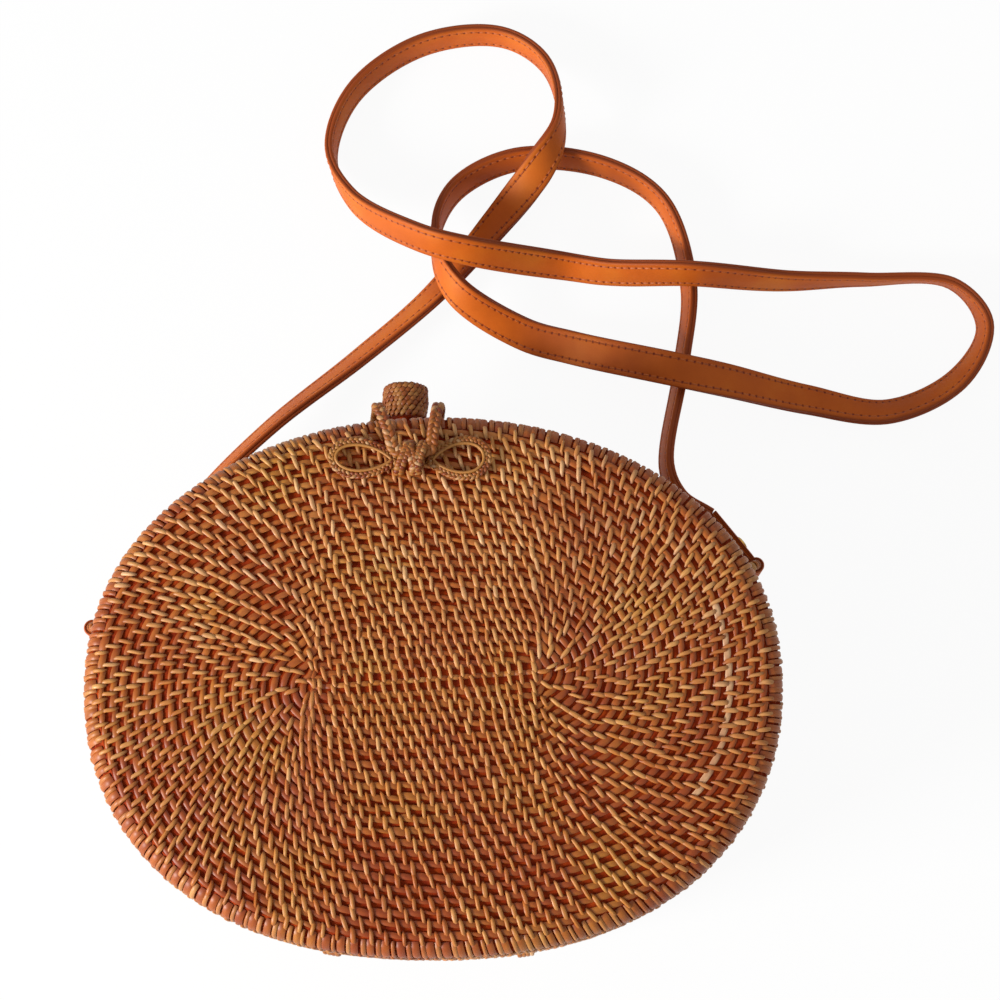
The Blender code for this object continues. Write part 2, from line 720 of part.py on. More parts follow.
def strap_route():
    """The strap's route with both ends worked out from the eyes, in metres and degrees."""
    frames = end_frames()
    reach = Vector((END_LENGTH + GAP, 0, 0))
    first = [*(frames["left"] @ reach), LEAN_AT_LEFT_EYE]
    last = [*(frames["right"] @ reach), LEAN_AT_RIGHT_EYE]
    middle = [(x * MM, y * MM, z * MM, lean) for x, y, z, lean in STRAP_ROUTE]
    return np.array([first, *middle, last])


def make_shoulder_strap():
    """A flat strap lofted along its route, standing on its edge and leaning as it lies."""
    rows = smooth_route(strap_route(), STRAP_SECTIONS)
    along = np.gradient(rows[:, :3], axis=0)
    along[[0, -1], 2] = 0
    along /= np.linalg.norm(along, axis=1, keepdims=True)
    left = np.cross((0, 0, 1), along)
    left /= np.linalg.norm(left, axis=1, keepdims=True)
    up = np.cross(along, left)
    lean = np.radians(rows[:, 3:])
    wide = np.cos(lean) * up + np.sin(lean) * left
    thick = np.cos(lean) * left - np.sin(lean) * up
    half_width, half_thickness = STRAP_WIDTH / 2, STRAP_THICKNESS / 2
    inner_width, inner_thickness = half_width - STRAP_CHAMFER, half_thickness - STRAP_CHAMFER
    corner = [
        (half_width, inner_thickness),
        (inner_width, half_thickness),
    ]
    section = corner
    section = section + [(-w, t) for w, t in reversed(section)]
    section = section + [(w, -t) for w, t in reversed(section)]
    rings = []
    for centre, across, through in zip(rows[:, :3], wide, thick):
        rings.append([centre + w * across + t * through for w, t in section])
    place("shoulder_strap", loft("shoulder_strap", rings), LEATHER)
    length = np.linalg.norm(np.diff(rows[:, :3], axis=0), axis=1).sum()
    print(f"shoulder strap, free length {length:.3f} m")


def main():
    clear_scene()
    new_collection("oval_rattan_bag")
    new_collection("cutters", for_cutters=True)
    make_halves(hinge_slots())
    make_lashings()
    make_knob()
    make_closure_loop()
    make_knot()
    make_bow()
    make_strap_eyes()
    make_strap_ends()
    make_shoulder_strap()


main()
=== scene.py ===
# %% [markdown]
# # An oval rattan bag, stitch by stitch
#
# The bag lies on its back half with the closure away from us and its long leather strap thrown
# loosely above it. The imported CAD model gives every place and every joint. This script dresses it:
# each visible stitch of the coiled rattan, each strand of the braided closure, the strap and its seams.

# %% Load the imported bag
import math

import bmesh
import bpy
import numpy as np
from mathutils import Matrix


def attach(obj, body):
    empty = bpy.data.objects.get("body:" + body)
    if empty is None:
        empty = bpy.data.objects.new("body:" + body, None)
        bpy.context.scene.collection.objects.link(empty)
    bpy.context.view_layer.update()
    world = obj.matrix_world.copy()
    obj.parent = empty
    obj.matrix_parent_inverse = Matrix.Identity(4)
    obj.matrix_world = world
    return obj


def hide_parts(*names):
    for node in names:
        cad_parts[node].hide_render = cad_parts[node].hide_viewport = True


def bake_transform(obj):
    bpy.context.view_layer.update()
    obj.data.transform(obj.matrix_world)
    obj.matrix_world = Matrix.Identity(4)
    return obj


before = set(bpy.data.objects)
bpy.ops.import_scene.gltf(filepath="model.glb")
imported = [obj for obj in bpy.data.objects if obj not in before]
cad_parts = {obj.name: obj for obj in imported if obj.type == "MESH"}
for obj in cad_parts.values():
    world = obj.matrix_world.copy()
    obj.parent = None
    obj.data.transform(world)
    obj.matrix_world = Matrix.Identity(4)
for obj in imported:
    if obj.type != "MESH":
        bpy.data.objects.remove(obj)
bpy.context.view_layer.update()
MM = 0.001
random = np.random.default_rng(7)

# %% [markdown]
# ## The camera
#
# The photograph was taken by hand, almost straight down. The oval outline was fitted with a 75 mm lens
# on a full-frame sensor, 12.7 degrees off the vertical, and that camera is set up here. It comes first,
# because everything after it is judged through it.

# %% Camera
CAMERA_AT = (21.55 * MM, -89.94 * MM, 728.0 * MM)
CAMERA_PITCH = math.radians(12.7)
CAMERA_ROLL = -0.0064


def put_in_scene(name, data):
    """A new object that shows this data."""
    made = bpy.data.objects.new(name, data)
    bpy.context.collection.objects.link(made)
    return made


def place_camera():
    """Looks down, tipped by the pitch towards +Y and rolled about its own line of sight."""
    data = bpy.data.cameras.new("camera")
    data.lens = 75
    data.sensor_width = 36
    camera = put_in_scene("camera", data)
    tip = Matrix.Rotation(CAMERA_PITCH, 4, "X")
    roll = Matrix.Rotation(CAMERA_ROLL, 4, "Z")
    camera.matrix_world = Matrix.Translation(CAMERA_AT) @ tip @ roll
    bpy.context.scene.camera = camera
    return camera


camera = place_camera()
print("camera", [round(x, 4) for x in camera.matrix_world.translation])

# %% [markdown]
# ## Colours and nodes
#
# Colours are written as the hex values that a picture editor shows, and one function turns them to the
# linear numbers that a shader wants. One more function adds any shader node with its settings and links,
# so that each material below reads as a list of what the light meets.


# %% Helpers for materials
def linear(hex_colour):
    """sRGB to linear: each channel c is c / 12.92 when small, else ((c + 0.055) / 1.055) to the power 2.4."""
    channels = [int(hex_colour[i : i + 2], 16) / 255 for i in (1, 3, 5)]
    channels = [c / 12.92 if c <= 0.04045 else ((c + 0.055) / 1.055) ** 2.4 for c in channels]
    return (*channels, 1.0)


def feed(tree, node, inputs):
    """Gives each named socket of a node its value, or a link from the socket that feeds it."""
    for name, value in inputs.items():
        if isinstance(value, bpy.types.NodeSocket):
            tree.links.new(value, node.inputs[name])
        else:
            node.inputs[name].default_value = value


def add_node(tree, kind, inputs=None, stops=(), **settings):
    """Adds a shader node. inputs names its sockets, each with a value or with the socket that feeds it.

    stops are a colour ramp's, each a position and a hex colour.
    """
    made = tree.nodes.new("ShaderNode" + kind)
    for name, value in settings.items():
        setattr(made, name, value)
    feed(tree, made, inputs or {})
    for _ in stops[2:]:
        made.color_ramp.elements.new(0.5)
    for place, (position, colour) in enumerate(stops):
        made.color_ramp.elements[place].position = position
        made.color_ramp.elements[place].color = linear(colour)
    return made


def new_material(name):
    """An empty material and the shader at its end."""
    material = bpy.data.materials.new(name)
    material.use_nodes = True
    tree = material.node_tree
    return material, tree, tree.nodes["Principled BSDF"]


# %% [markdown]
# ## Light and floor
#
# Stitches that run up the picture are bright along their left side and at their feet, and those that run
# across it along their lower side. So the key light comes from the lower left, low and near, like a small
# window, and a pale world fills the rest. The photograph was cut out on white: here that white is the
# floor's own colour, lifted for the camera alone, and it still carries the bag's shadow.

# %% Studio
KEY_AZIMUTH = math.radians(204)
KEY_ELEVATION = math.radians(27)
KEY_DISTANCE = 1.5
KEY_SIZE = 0.45
KEY_POWER = 33.0
WORLD_LEVEL = 0.4
FLOOR_WHITE = 0.94
FLOOR_SIZE = 4.0
FLOOR_Z = -0.4 * MM


def place_key_light():
    """A square lamp on the key direction, turned to face the bag."""
    data = bpy.data.lights.new("key light", "AREA")
    data.size = KEY_SIZE
    data.energy = KEY_POWER
    lamp = put_in_scene("key light", data)
    turn = Matrix.Rotation(KEY_AZIMUTH + math.pi / 2, 4, "Z")
    tip = Matrix.Rotation(math.pi / 2 - KEY_ELEVATION, 4, "X")
    lamp.matrix_world = turn @ tip @ Matrix.Translation((0, 0, KEY_DISTANCE))


def seen_directly(tree):
    """1 for rays that reach the camera straight, mirrored or through something clear, else 0."""
    path = add_node(tree, "LightPath").outputs
    total = path["Is Camera Ray"]
    for kind in ("Is Glossy Ray", "Is Transmission Ray"):
        total = add_node(tree, "Math", {0: total, 1: path[kind]}, operation="ADD").outputs[0]
    return add_node(tree, "Clamp", {0: total}).outputs[0]


def set_world():
    world = bpy.data.worlds.new("pale room")
    world.use_nodes = True
    tree = world.node_tree
    level = add_node(tree, "MapRange", {0: seen_directly(tree), 3: WORLD_LEVEL, 4: 1.0}).outputs[0]
    feed(tree, tree.nodes["Background"], {"Color": (1, 1, 1, 1), "Strength": level})
    bpy.context.scene.world = world


def make_floor():
    """White matt board. For the camera it is mostly a plain white, and the shadow shows through the rest."""
    half = FLOOR_SIZE / 2
    mesh = bpy.data.meshes.new("floor")
    corners = [(x * half, y * half, FLOOR_Z) for x, y in ((-1, -1), (1, -1), (1, 1), (-1, 1))]
    mesh.from_pydata(corners, [], [(0, 1, 2, 3)])
    floor = put_in_scene("floor", mesh)
    material, tree, board = new_material("white matt board")
    feed(tree, board, {"Base Color": linear("#F4F3F1"), "Roughness": 0.9, "Specular IOR Level": 0.1})
    white = add_node(tree, "Emission", {"Color": (1, 1, 1, 1), "Strength": 1.0})
    share = add_node(tree, "MapRange", {0: seen_directly(tree), 3: 0.0, 4: FLOOR_WHITE}).outputs[0]
    mixed = add_node(tree, "MixShader", {0: share, 1: board.outputs[0], 2: white.outputs[0]})
    feed(tree, tree.nodes["Material Output"], {"Surface": mixed.outputs[0]})
    mesh.materials.append(material)


bpy.context.scene.view_settings.view_transform = "Standard"
place_key_light()
set_world()
make_floor()
print("key light", KEY_POWER, "W, world", WORLD_LEVEL)

# %% [markdown]
# ## Putting arrays into meshes
#
# Every new piece below is worked out with numpy as whole arrays: points on a grid, and faces that join
# them. One function stores them in a mesh. It also stores two facts that the materials read: "cane" holds
# how far along the strand a point is in millimetres, where it is round the strand, and the strand's own
# random tone; "tuck" is how deep the point is buried under its neighbours, which the rattan
# material paints as shade.


# %% Mesh maker
SHARP_FROM = math.radians(50)


def make_piece(name, points, faces, material, body, slot, **stored):
    """faces is a list of index arrays, one row per face. A piece that bends between bodies rides on none.

    stored holds what each point keeps for the materials, a number or a vector under its own name. These
    arrays and the points may have any shape, as long as they run through the points in one order.
    """
    mesh = bpy.data.meshes.new(name)
    corners = np.concatenate([part.ravel() for part in faces]).astype(np.int32)
    sizes = np.concatenate([np.full(len(part), part.shape[1]) for part in faces])
    starts = np.concatenate([[0], np.cumsum(sizes)[:-1]]).astype(np.int32)
    mesh.vertices.add(points.size // 3)
    mesh.vertices.foreach_set("co", points.astype(np.float32).ravel())
    mesh.loops.add(len(corners))
    mesh.loops.foreach_set("vertex_index", corners)
    mesh.polygons.add(len(sizes))
    mesh.polygons.foreach_set("loop_start", starts)
    mesh.update(calc_edges=True)
    mesh.shade_smooth()
    mesh.set_sharp_from_angle(angle=SHARP_FROM)
    for label, values in stored.items():
        vectors = values.size == points.size
        kind, field = ("FLOAT_VECTOR", "vector") if vectors else ("FLOAT", "value")
        kept = mesh.attributes.new(label, kind, "POINT")
        kept.data.foreach_set(field, values.astype(np.float32).ravel())
    mesh.materials.append(material)
    piece = put_in_scene(name, mesh)
    if body:
        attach(piece, body)
    return piece


def unit(vectors):
    return vectors / np.linalg.norm(vectors, axis=-1, keepdims=True)


def travel_of(centres, closed):
    """The unit direction of travel at each station of each path."""
    if closed:
        return unit(np.roll(centres, -1, axis=-2) - np.roll(centres, 1, axis=-2))
    return unit(np.gradient(centres, axis=-2))


def run_of(centres):
    """The length run along each path at each station."""
    steps = np.linalg.norm(np.diff(centres, axis=-2), axis=-1)
    return np.concatenate([np.zeros_like(steps[..., :1]), np.cumsum(steps, axis=-1)], axis=-1)


# %% [markdown]
# ## One cane, or thousands
#
# Rattan strands, braid strands, stitching thread and wound cane are all the same thing: a small ring
# carried along a path. Curves with a bevel could do it one at a time. A bag has thousands, so one function
# carries a ring along all its paths at once, and each of the thousands has only about thirty faces.

# %% Canes
SPLIT_CANE = np.radians([-25.0, 22.0, 64.0, 116.0, 158.0, 205.0])
ROUND_CANE = np.radians(np.arange(8) * 45.0)
THREAD = np.radians([0.0, 90.0, 180.0, 270.0])


def quads_between(here, ahead):
    """One quad for each step round, from a ring of point numbers to the ring ahead of it."""
    corners = [here, np.roll(here, -1, axis=-1), np.roll(ahead, -1, axis=-1), ahead]
    return np.stack(corners, axis=-1).reshape(-1, 4)


def canes(name, centres, outward, half_width, half_height, ring, look, tone, tuck=0.0, closed=False):
    """Rings of centre + half_width cos(a) sideways + half_height sin(a) outward, joined along each path.

    centres is paths x stations x 3. look is the material, the body and a slot name, which is not used.
    """
    count, stations = centres.shape[:2]
    sides = len(ring)
    travel = travel_of(centres, closed)
    sideways = unit(np.cross(outward, travel))
    outward = np.cross(travel, sideways)
    width = np.broadcast_to(half_width, (count, stations))[..., None, None]
    height = np.broadcast_to(half_height, (count, stations))[..., None, None]
    points = centres[:, :, None] + width * np.cos(ring)[:, None] * sideways[:, :, None]
    points = points + height * np.sin(ring)[:, None] * outward[:, :, None]
    index = np.arange(count * stations * sides).reshape(count, stations, sides)
    here, ahead = (index, np.roll(index, -1, axis=1)) if closed else (index[:, :-1], index[:, 1:])
    faces = [quads_between(here, ahead)]
    if not closed:
        faces += [index[:, 0, ::-1], index[:, -1]]
    shape = (count, stations, sides)
    cane = np.empty((*shape, 3))
    cane[..., 0] = run_of(centres)[..., None] / MM
    cane[..., 1] = ring / (2 * np.pi)
    cane[..., 2] = np.broadcast_to(tone, (count, stations))[..., None]
    # Painted shade: how much each point is darkened where its strand goes under its neighbours.
    tucked = np.broadcast_to(np.broadcast_to(tuck, (count, stations))[..., None], shape)
    return make_piece(name, points, faces, *look, cane=cane, tuck=tucked)


# %% [markdown]
# ## Strap leather
#
# The strap is vegetable-tanned cowhide, dyed tan: two layers glued back to back, skived thin, sewn along
# both edges and rubbed smooth there. The eye gets a warm orange with small clouds, a fine grain that
# breaks the gloss, dark dots of painted shade where the needle went through, and a darker cut edge. The
# pattern follows the strap's own length and width, stored on each point, so it bends with the strap.

# %% Leather material
STITCH_LENGTH = 2.8
STITCH_LINE = 3.9
GRAIN_SIZE = 0.55


def strap_leather():
    material, tree, shader = new_material("vegetable tanned cowhide")
    place = add_node(tree, "Attribute", attribute_name="strap").outputs["Vector"]
    along, across, edge = add_node(tree, "SeparateXYZ", {0: place}).outputs[:3]
    solid = add_node(tree, "TexCoord").outputs["Object"]
    clouds = add_node(tree, "TexNoise", {"Vector": solid, "Scale": 45.0, "Detail": 4.0}).outputs["Fac"]
    dyes = [(0.3, "#B4520A"), (0.5, "#C86010"), (0.72, "#D4721C")]
    colour = add_node(tree, "ValToRGB", {0: clouds}, stops=dyes).outputs[0]
    fine = add_node(tree, "TexNoise", {"Vector": place, "Scale": 1.6, "Detail": 3.0}).outputs["Fac"]
    aged = add_node(tree, "MapRange", {0: fine, 3: 0.0, 4: 0.25}).outputs[0]
    beat = add_node(tree, "Math", {0: along, 1: STITCH_LENGTH / 2}, operation="PINGPONG").outputs[0]
    outer = add_node(tree, "Math", {0: across}, operation="ABSOLUTE").outputs[0]
    off = add_node(tree, "Math", {0: outer, 1: STITCH_LINE}, operation="SUBTRACT").outputs[0]
    offset = add_node(tree, "CombineXYZ", {0: beat, 1: off}).outputs[0]
    distance = add_node(tree, "VectorMath", {0: offset}, operation="LENGTH").outputs["Value"]
    # Painted shade in the needle holes: dark dots, also used as the height of their small dents.
    hole = add_node(tree, "MapRange", {0: distance, 1: 0.2, 2: 0.7, 3: 1.0, 4: 0.0}).outputs[0]
    for share, shade in ((aged, "#A8460A"), (edge, "#8A3A0C"), (hole, "#6A1E04")):
        colour = add_node(tree, "Mix", {0: share, 6: colour, 7: linear(shade)}, data_type="RGBA").outputs[2]
    grain = add_node(tree, "TexVoronoi", {"Vector": place, "Scale": 1 / GRAIN_SIZE}).outputs["Distance"]
    bump = add_node(tree, "Bump", {"Height": grain, "Strength": 0.25, "Distance": 0.05 * MM})
    pricked = {"Height": hole, "Strength": 0.5, "Distance": 0.2 * MM, "Normal": bump.outputs[0]}
    dent = add_node(tree, "Bump", pricked, invert=True)
    worn = add_node(tree, "MapRange", {0: fine, 3: 0.5, 4: 0.68}).outputs[0]
    feed(tree, shader, {"Base Color": colour, "Normal": dent.outputs[0], "Roughness": worn, "IOR": 1.34})
    return material


leather = strap_leather()

# %% [markdown]
# ## The strap's route
#
# The strap is one free cord of leather, 12 mm wide and 1.14 m long between its folded ends. It stands on
# its edge like a ribbon, leans over where it lies, and crosses itself in long low humps. The route is a
# list of points chosen on the photograph, with the lean of the band at each, and a cubic curve
# runs through them. The two ends are worked out from the cane eyes that hold them.

# %% Sizes of the bag and its eyes
LENGTH = 223.0 * MM
HEIGHT = 173.6 * MM
DEPTH = 75.0 * MM
OUTLINE_POWER = 2.163
POWER_SWING = 0.09
SEAM_Z = DEPTH / 2
EYE_REACH = 9.0 * MM
EYE_Z = SEAM_Z - 15.5 * MM
EYE_HALF_HEIGHT = 9.0 * MM
EYE_ROUNDING = 4.0 * MM
EYES = {"left": (-1, 22.0 * MM, -110.9), "right": (1, 40.0 * MM, 97.6)}
STRAP_WIDTH = 12.0 * MM
STRAP_THICKNESS = 2.8 * MM
STRAP_END = 23.3 * MM
GAP = 0.3 * MM


def eye_place(side):
    """The wall's point behind an eye, its outward direction, and the heading of the strap that leaves it.

    On the oval |x/a|^p + |y/b|^p = 1 the outward direction is (|x/a|^(p-1) / a, |y/b|^(p-1) / b).
    """
    sign, y, turn = EYES[side]
    share = (1 - (y / (HEIGHT / 2)) ** OUTLINE_POWER) ** (1 / OUTLINE_POWER)
    slope = OUTLINE_POWER - 1
    normal = np.array([sign * share**slope / (LENGTH / 2), (y / (HEIGHT / 2)) ** slope / (HEIGHT / 2), 0])
    normal = unit(normal)
    heading = math.atan2(normal[1], normal[0]) + math.radians(turn)
    wall = np.array([sign * LENGTH / 2 * share, y, 0])
    return wall, normal, np.array([math.cos(heading), math.sin(heading), 0])


def eye_bar(side):
    """The middle of the eye's upright bar."""
    wall, normal, _ = eye_place(side)
    return wall + EYE_REACH * normal + np.array([0, 0, EYE_Z])


print("eye bars at", [np.round(eye_bar(side) / MM, 1).tolist() for side in EYES])

# %% [markdown]
# Each row below is a point in millimetres and the lean of the band in degrees: 0 stands on its edge, 90
# lies flat on its left face. A curve through points alone couldn't say how a flat band twists, and twist is
# what makes a dropped strap look like leather.

# %% Route of the strap
STRAP_ROUTE = [
    (-83.5, 71.0, 20.6, 156),
    (-58.7, 97.9, 16.4, 149),
    (-29.0, 125.1, 7.6, 141),
    (-2.2, 149.4, 6.0, 134),
    (18.9, 174.8, 4.8, 112),
    (36.7, 194.2, 17.6, 61),
    (44.0, 209.5, 19.1, 15),
    (39.2, 237.9, 9.5, -1),
    (22.9, 250.0, 6.6, -5),
    (-6.4, 246.9, 6.5, -9),
    (-31.5, 228.2, 6.8, -10),
    (-39.9, 204.9, 6.7, -7),
    (-31.4, 183.8, 12.3, 9),
    (-7.4, 163.5, 28.9, 26),
    (9.5, 158.1, 29.7, 30),
    (46.3, 158.9, 8.7, 29),
    (61.8, 155.7, 11.3, 24),
    (89.7, 151.9, 20.6, 20),
    (125.0, 152.8, 8.9, 10),
    (154.1, 153.9, 6.4, -5),
    (186.6, 152.0, 6.7, -11),
    (197.3, 136.6, 6.4, 7),
    (186.8, 116.6, 6.0, 37),
    (161.2, 104.6, 5.2, 51),
    (132.4, 109.2, 5.1, 70),
    (102.1, 112.6, 18.9, 91),
    (81.2, 115.7, 24.5, 109),
    (47.8, 128.5, 7.6, 117),
    (30.1, 134.5, 5.9, 125),
    (6.0, 147.6, 17.7, 145),
    (-1.2, 167.2, 15.1, 178),
    (6.3, 189.6, 7.0, 195),
    (28.6, 201.2, 6.5, 195),
    (60.7, 198.0, 6.4, 190),
    (81.6, 183.9, 6.6, 188),
    (90.5, 153.2, 6.6, 193),
    (86.5, 119.2, 12.1, 194),
    (80.0, 81.0, 18.9, 190),
    (84.6, 70.4, 18.6, 187),
]
STRAP_STATIONS = 560


def smooth_route(points, count):
    """A cubic curve through the points: on each span the four Hermite terms blend places and slopes."""
    steps = np.linalg.norm(np.diff(points[:, :3], axis=0), axis=1) ** 0.5
    knots = np.concatenate([[0], np.cumsum(steps)])
    at = np.linspace(0, knots[-1], count)
    slopes = np.gradient(points, knots, axis=0)
    i = np.clip(np.searchsorted(knots, at, side="right") - 1, 0, len(points) - 2)
    span = (knots[i + 1] - knots[i])[:, None]
    part = (at - knots[i])[:, None] / span
    start = points[i] * (1 + 2 * part) * (1 - part) ** 2
    leave = slopes[i] * span * part * (1 - part) ** 2
    end = points[i + 1] * part**2 * (3 - 2 * part)
    arrive = slopes[i + 1] * span * part**2 * (part - 1)
    return start + leave + end + arrive


def read_along(at, run, line):
    """Where a line is at the lengths asked for, straight between its stations."""
    return np.stack([np.interp(at, run, column) for column in line.T], axis=-1)


def strap_frames():
    """Centres, the band's wide direction and its thin direction, at even steps of length."""
    reach = STRAP_END + GAP
    first = [*(eye_bar("left") + reach * eye_place("left")[2]), 180.0]
    last = [*(eye_bar("right") + reach * eye_place("right")[2]), 180.0]
    middle = [(x * MM, y * MM, z * MM, lean) for x, y, z, lean in STRAP_ROUTE]
    fine = smooth_route(np.array([first, *middle, last]), 4 * STRAP_STATIONS)
    run = run_of(fine[:, :3])
    even = np.linspace(0, run[-1], STRAP_STATIONS)
    rows = read_along(even, run, fine)
    along = np.gradient(rows[:, :3], axis=0)
    along[[0, -1], 2] = 0
    along = unit(along)
    left = unit(np.cross((0, 0, 1), along))
    up = np.cross(along, left)
    lean = np.radians(rows[:, 3:])
    wide = np.cos(lean) * up + np.sin(lean) * left
    thin = np.cos(lean) * left - np.sin(lean) * up
    return rows[:, :3], wide, thin, even


strap_centres, strap_wide, strap_thin, strap_run = strap_frames()
print(f"strap, free length {strap_run[-1]:.3f} m")

# %% [markdown]
# ## A band of two layers
#
# A flat strap isn't a box. Its edges are rounded over, a fine line shows where the two layers meet, and
# each face dips a little along its sewing. So the section is a closed outline of 30 points, and that
# outline is carried along the route.

# %% Section of the band and its sewing
SEWING_DIP = 0.12
THREAD_HALVES = (0.32 * MM, 0.24 * MM)


def band_section(half_width, half_thickness):
    """(across, through) of one quarter, mirrored three times, in millimetres, and 1 where it is cut edge."""
    w, t = half_width, half_thickness
    quarter = [
        (w - 0.25, 0.0, 1.0),
        (w, 0.25, 1.0),
        (w, t - 0.55, 1.0),
        (w - 0.2, t - 0.2, 0.6),
        (w - 0.6, t, 0.2),
        (STITCH_LINE + 0.5, t, 0.0),
        (STITCH_LINE, t - SEWING_DIP, 0.0),
        (STITCH_LINE - 0.5, t, 0.0),
    ]
    upper = quarter + [(-a, b, c) for a, b, c in reversed(quarter)]
    return np.array(upper + [(-a, -b, c) for a, b, c in upper[1:-1]])


def tube_faces(rings, sides, flipped=False, capped=True):
    """Quads from each ring to the next, and one face over the first ring and one over the last."""
    index = np.arange(rings * sides).reshape(rings, sides)
    faces = [quads_between(index[:-1], index[1:])] + ([index[:1, ::-1], index[-1:]] if capped else [])
    return [part[:, ::-1] for part in faces] if flipped else faces


def band(name, centres, wide, thin, run, thickness, look):
    """Each station carries the section: centre + across * wide + through * thin."""
    section = band_section(STRAP_WIDTH / 2 / MM, thickness / 2 / MM)
    across, through, edge = section.T
    points = centres[:, None] + MM * (across[:, None] * wide[:, None] + through[:, None] * thin[:, None])
    left_handed = np.linalg.det([wide[0], thin[0], travel_of(centres, False)[0]]) < 0
    faces = tube_faces(len(centres), len(section), flipped=left_handed)
    place = np.stack(np.broadcast_arrays(run[:, None] / MM, across, edge), axis=-1)
    return make_piece(name, points, faces, *look, strap=place)


def sewing(name, centres, wide, thin, run, thickness, look):
    """Thread along both edges of both faces: each stitch rises from one hole and dives into the next."""
    stitch = STITCH_LENGTH * MM
    starts = np.arange(1, math.floor(run[-1] / stitch) - 1) * stitch
    share = np.array([0.1, 0.3, 0.7, 0.9])
    at = starts[:, None] + share * stitch
    rise = np.array([-0.25, 0.08, 0.08, -0.25]) * MM
    centre, across, through = (read_along(at, run, line) for line in (centres, wide, thin))
    paths, faces = [], []
    for edge in (-1, 1):
        for face in (-1, 1):
            lift = face * (thickness / 2 - SEWING_DIP * MM) + face * rise
            paths.append(centre + edge * STITCH_LINE * MM * across + lift[:, None] * through)
            faces.append(face * through)
    tone = random.random((len(paths) * len(starts), 1))
    return canes(name, np.concatenate(paths), np.concatenate(faces), *THREAD_HALVES, THREAD, look, tone)


# %% [markdown]
# ## Thread
#
# The thread is waxed linen, a little darker than the leather it is sewn into. It is only a third of a
# millimetre wide, so all that shows is a row of short dark dashes with a soft shine.


# %% Thread material and the strap itself
def waxed_thread():
    material, tree, shader = new_material("waxed linen thread")
    place = add_node(tree, "Attribute", attribute_name="cane").outputs["Vector"]
    tone = add_node(tree, "SeparateXYZ", {0: place}).outputs[2]
    twist = add_node(tree, "TexWave", {"Vector": place, "Scale": 1.2, "Distortion": 1.0}).outputs["Fac"]
    colour = add_node(tree, "ValToRGB", {0: tone}, stops=[(0.0, "#A84E12"), (1.0, "#C4641C")]).outputs[0]
    # Painted shade in the grooves of the twist.
    groove_shade = add_node(tree, "MapRange", {0: twist, 3: 0.0, 4: 0.3}).outputs[0]
    colour = add_node(tree, "Mix", {0: groove_shade, 6: colour, 7: linear("#5A240C")}, data_type="RGBA").outputs[2]
    feed(tree, shader, {"Base Color": colour, "Roughness": 0.6})
    return material


thread = waxed_thread()
strap_look = (leather, "back_half", "strap_leather")
thread_look = (thread, "back_half", "strap_leather")
strap_lie = (strap_centres, strap_wide, strap_thin, strap_run, STRAP_THICKNESS)
strap = band("strap", *strap_lie, strap_look)
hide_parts("shoulder_strap")
strap_sewing = sewing("strap_sewing", *strap_lie, thread_look)
print("strap sewn with", len(strap_sewing.data.polygons), "faces of thread")

# %% [markdown]
# ## Folded strap ends
#
# At each end one layer of leather is folded round the cane eye, pressed flat on itself and shut with a
# rivet. The fold is the same band at half the thickness, carried round the eye's bar and back.

# %% Strap ends
FOLD_RADIUS = 2.1 * MM
LAYER = 1.36 * MM
FOLD_TURN = math.radians(16)
PRESSED_FROM = FOLD_RADIUS + 2.2 * MM


def strap_end(side):
    """Out along one face, round the bar on a circle, and back along the other face."""
    _, _, heading = eye_place(side)
    across = np.array([-heading[1], heading[0], 0])
    turns = np.linspace(FOLD_TURN, 2 * math.pi - FOLD_TURN, 36)
    round_x, round_y = FOLD_RADIUS * np.cos(turns), FOLD_RADIUS * np.sin(turns)
    flat = np.linspace(STRAP_END, PRESSED_FROM, 14)
    x = np.concatenate([flat, round_x, flat[::-1]])
    y = np.concatenate([np.full_like(flat, LAYER / 2), round_y, np.full_like(flat, -LAYER / 2)])
    centres = eye_bar(side) + x[:, None] * heading + y[:, None] * across
    travel = travel_of(centres, False)
    wide = np.broadcast_to((0.0, 0.0, 1.0), centres.shape)
    thin = np.cross(wide, travel)
    piece = band(f"folded_end_{side}", centres, wide, thin, run_of(centres), LAYER, strap_look)
    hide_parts(f"strap_end_{side}")


for side in EYES:
    strap_end(side)
print("strap ends folded round both eyes")

# %% [markdown]
# ## Rivets
#
# Small tubular brass rivets, turned and polished, then dulled by handling. The CAD shape is right, so
# only the metal is made here: a high metallic value, a warm yellow, and fine scratches in the roughness.


# %% Brass
def handled_brass():
    material, tree, shader = new_material("handled brass")
    solid = add_node(tree, "TexCoord").outputs["Object"]
    scratches = add_node(tree, "TexNoise", {"Vector": solid, "Scale": 900.0, "Detail": 4.0}).outputs["Fac"]
    tarnish = add_node(tree, "TexNoise", {"Vector": solid, "Scale": 260.0}).outputs["Fac"]
    colour = add_node(tree, "ValToRGB", {0: tarnish}, stops=[(0.35, "#8A6A34"), (0.65, "#C7A257")]).outputs[0]
    rough = add_node(tree, "MapRange", {0: scratches, 3: 0.22, 4: 0.45}).outputs[0]
    feed(tree, shader, {"Base Color": colour, "Roughness": rough, "Metallic": 1.0})
    return material


brass = handled_brass()
for side in EYES:
    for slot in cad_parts[f"strap_rivet_{side}"].material_slots:
        slot.material = brass
print("rivets in", brass.name)

# %% [markdown]
# ## Rattan
#
# The strands are the split skin of the rattan palm, smoked over a fire and varnished. Smoke gives the red
# brown, the skin's silica gives a hard narrow gloss, and no two strands took the same colour. Each
# strand's random tone picks its colour from a ramp, long fibres streak it, broad clouds shift whole
# patches towards gold or red, and painted shade darkens it where it is tucked in under its neighbours.

# %% Rattan material
FIBRE_WIDTH = 0.18
CLOUD_SIZE = 34.0 * MM


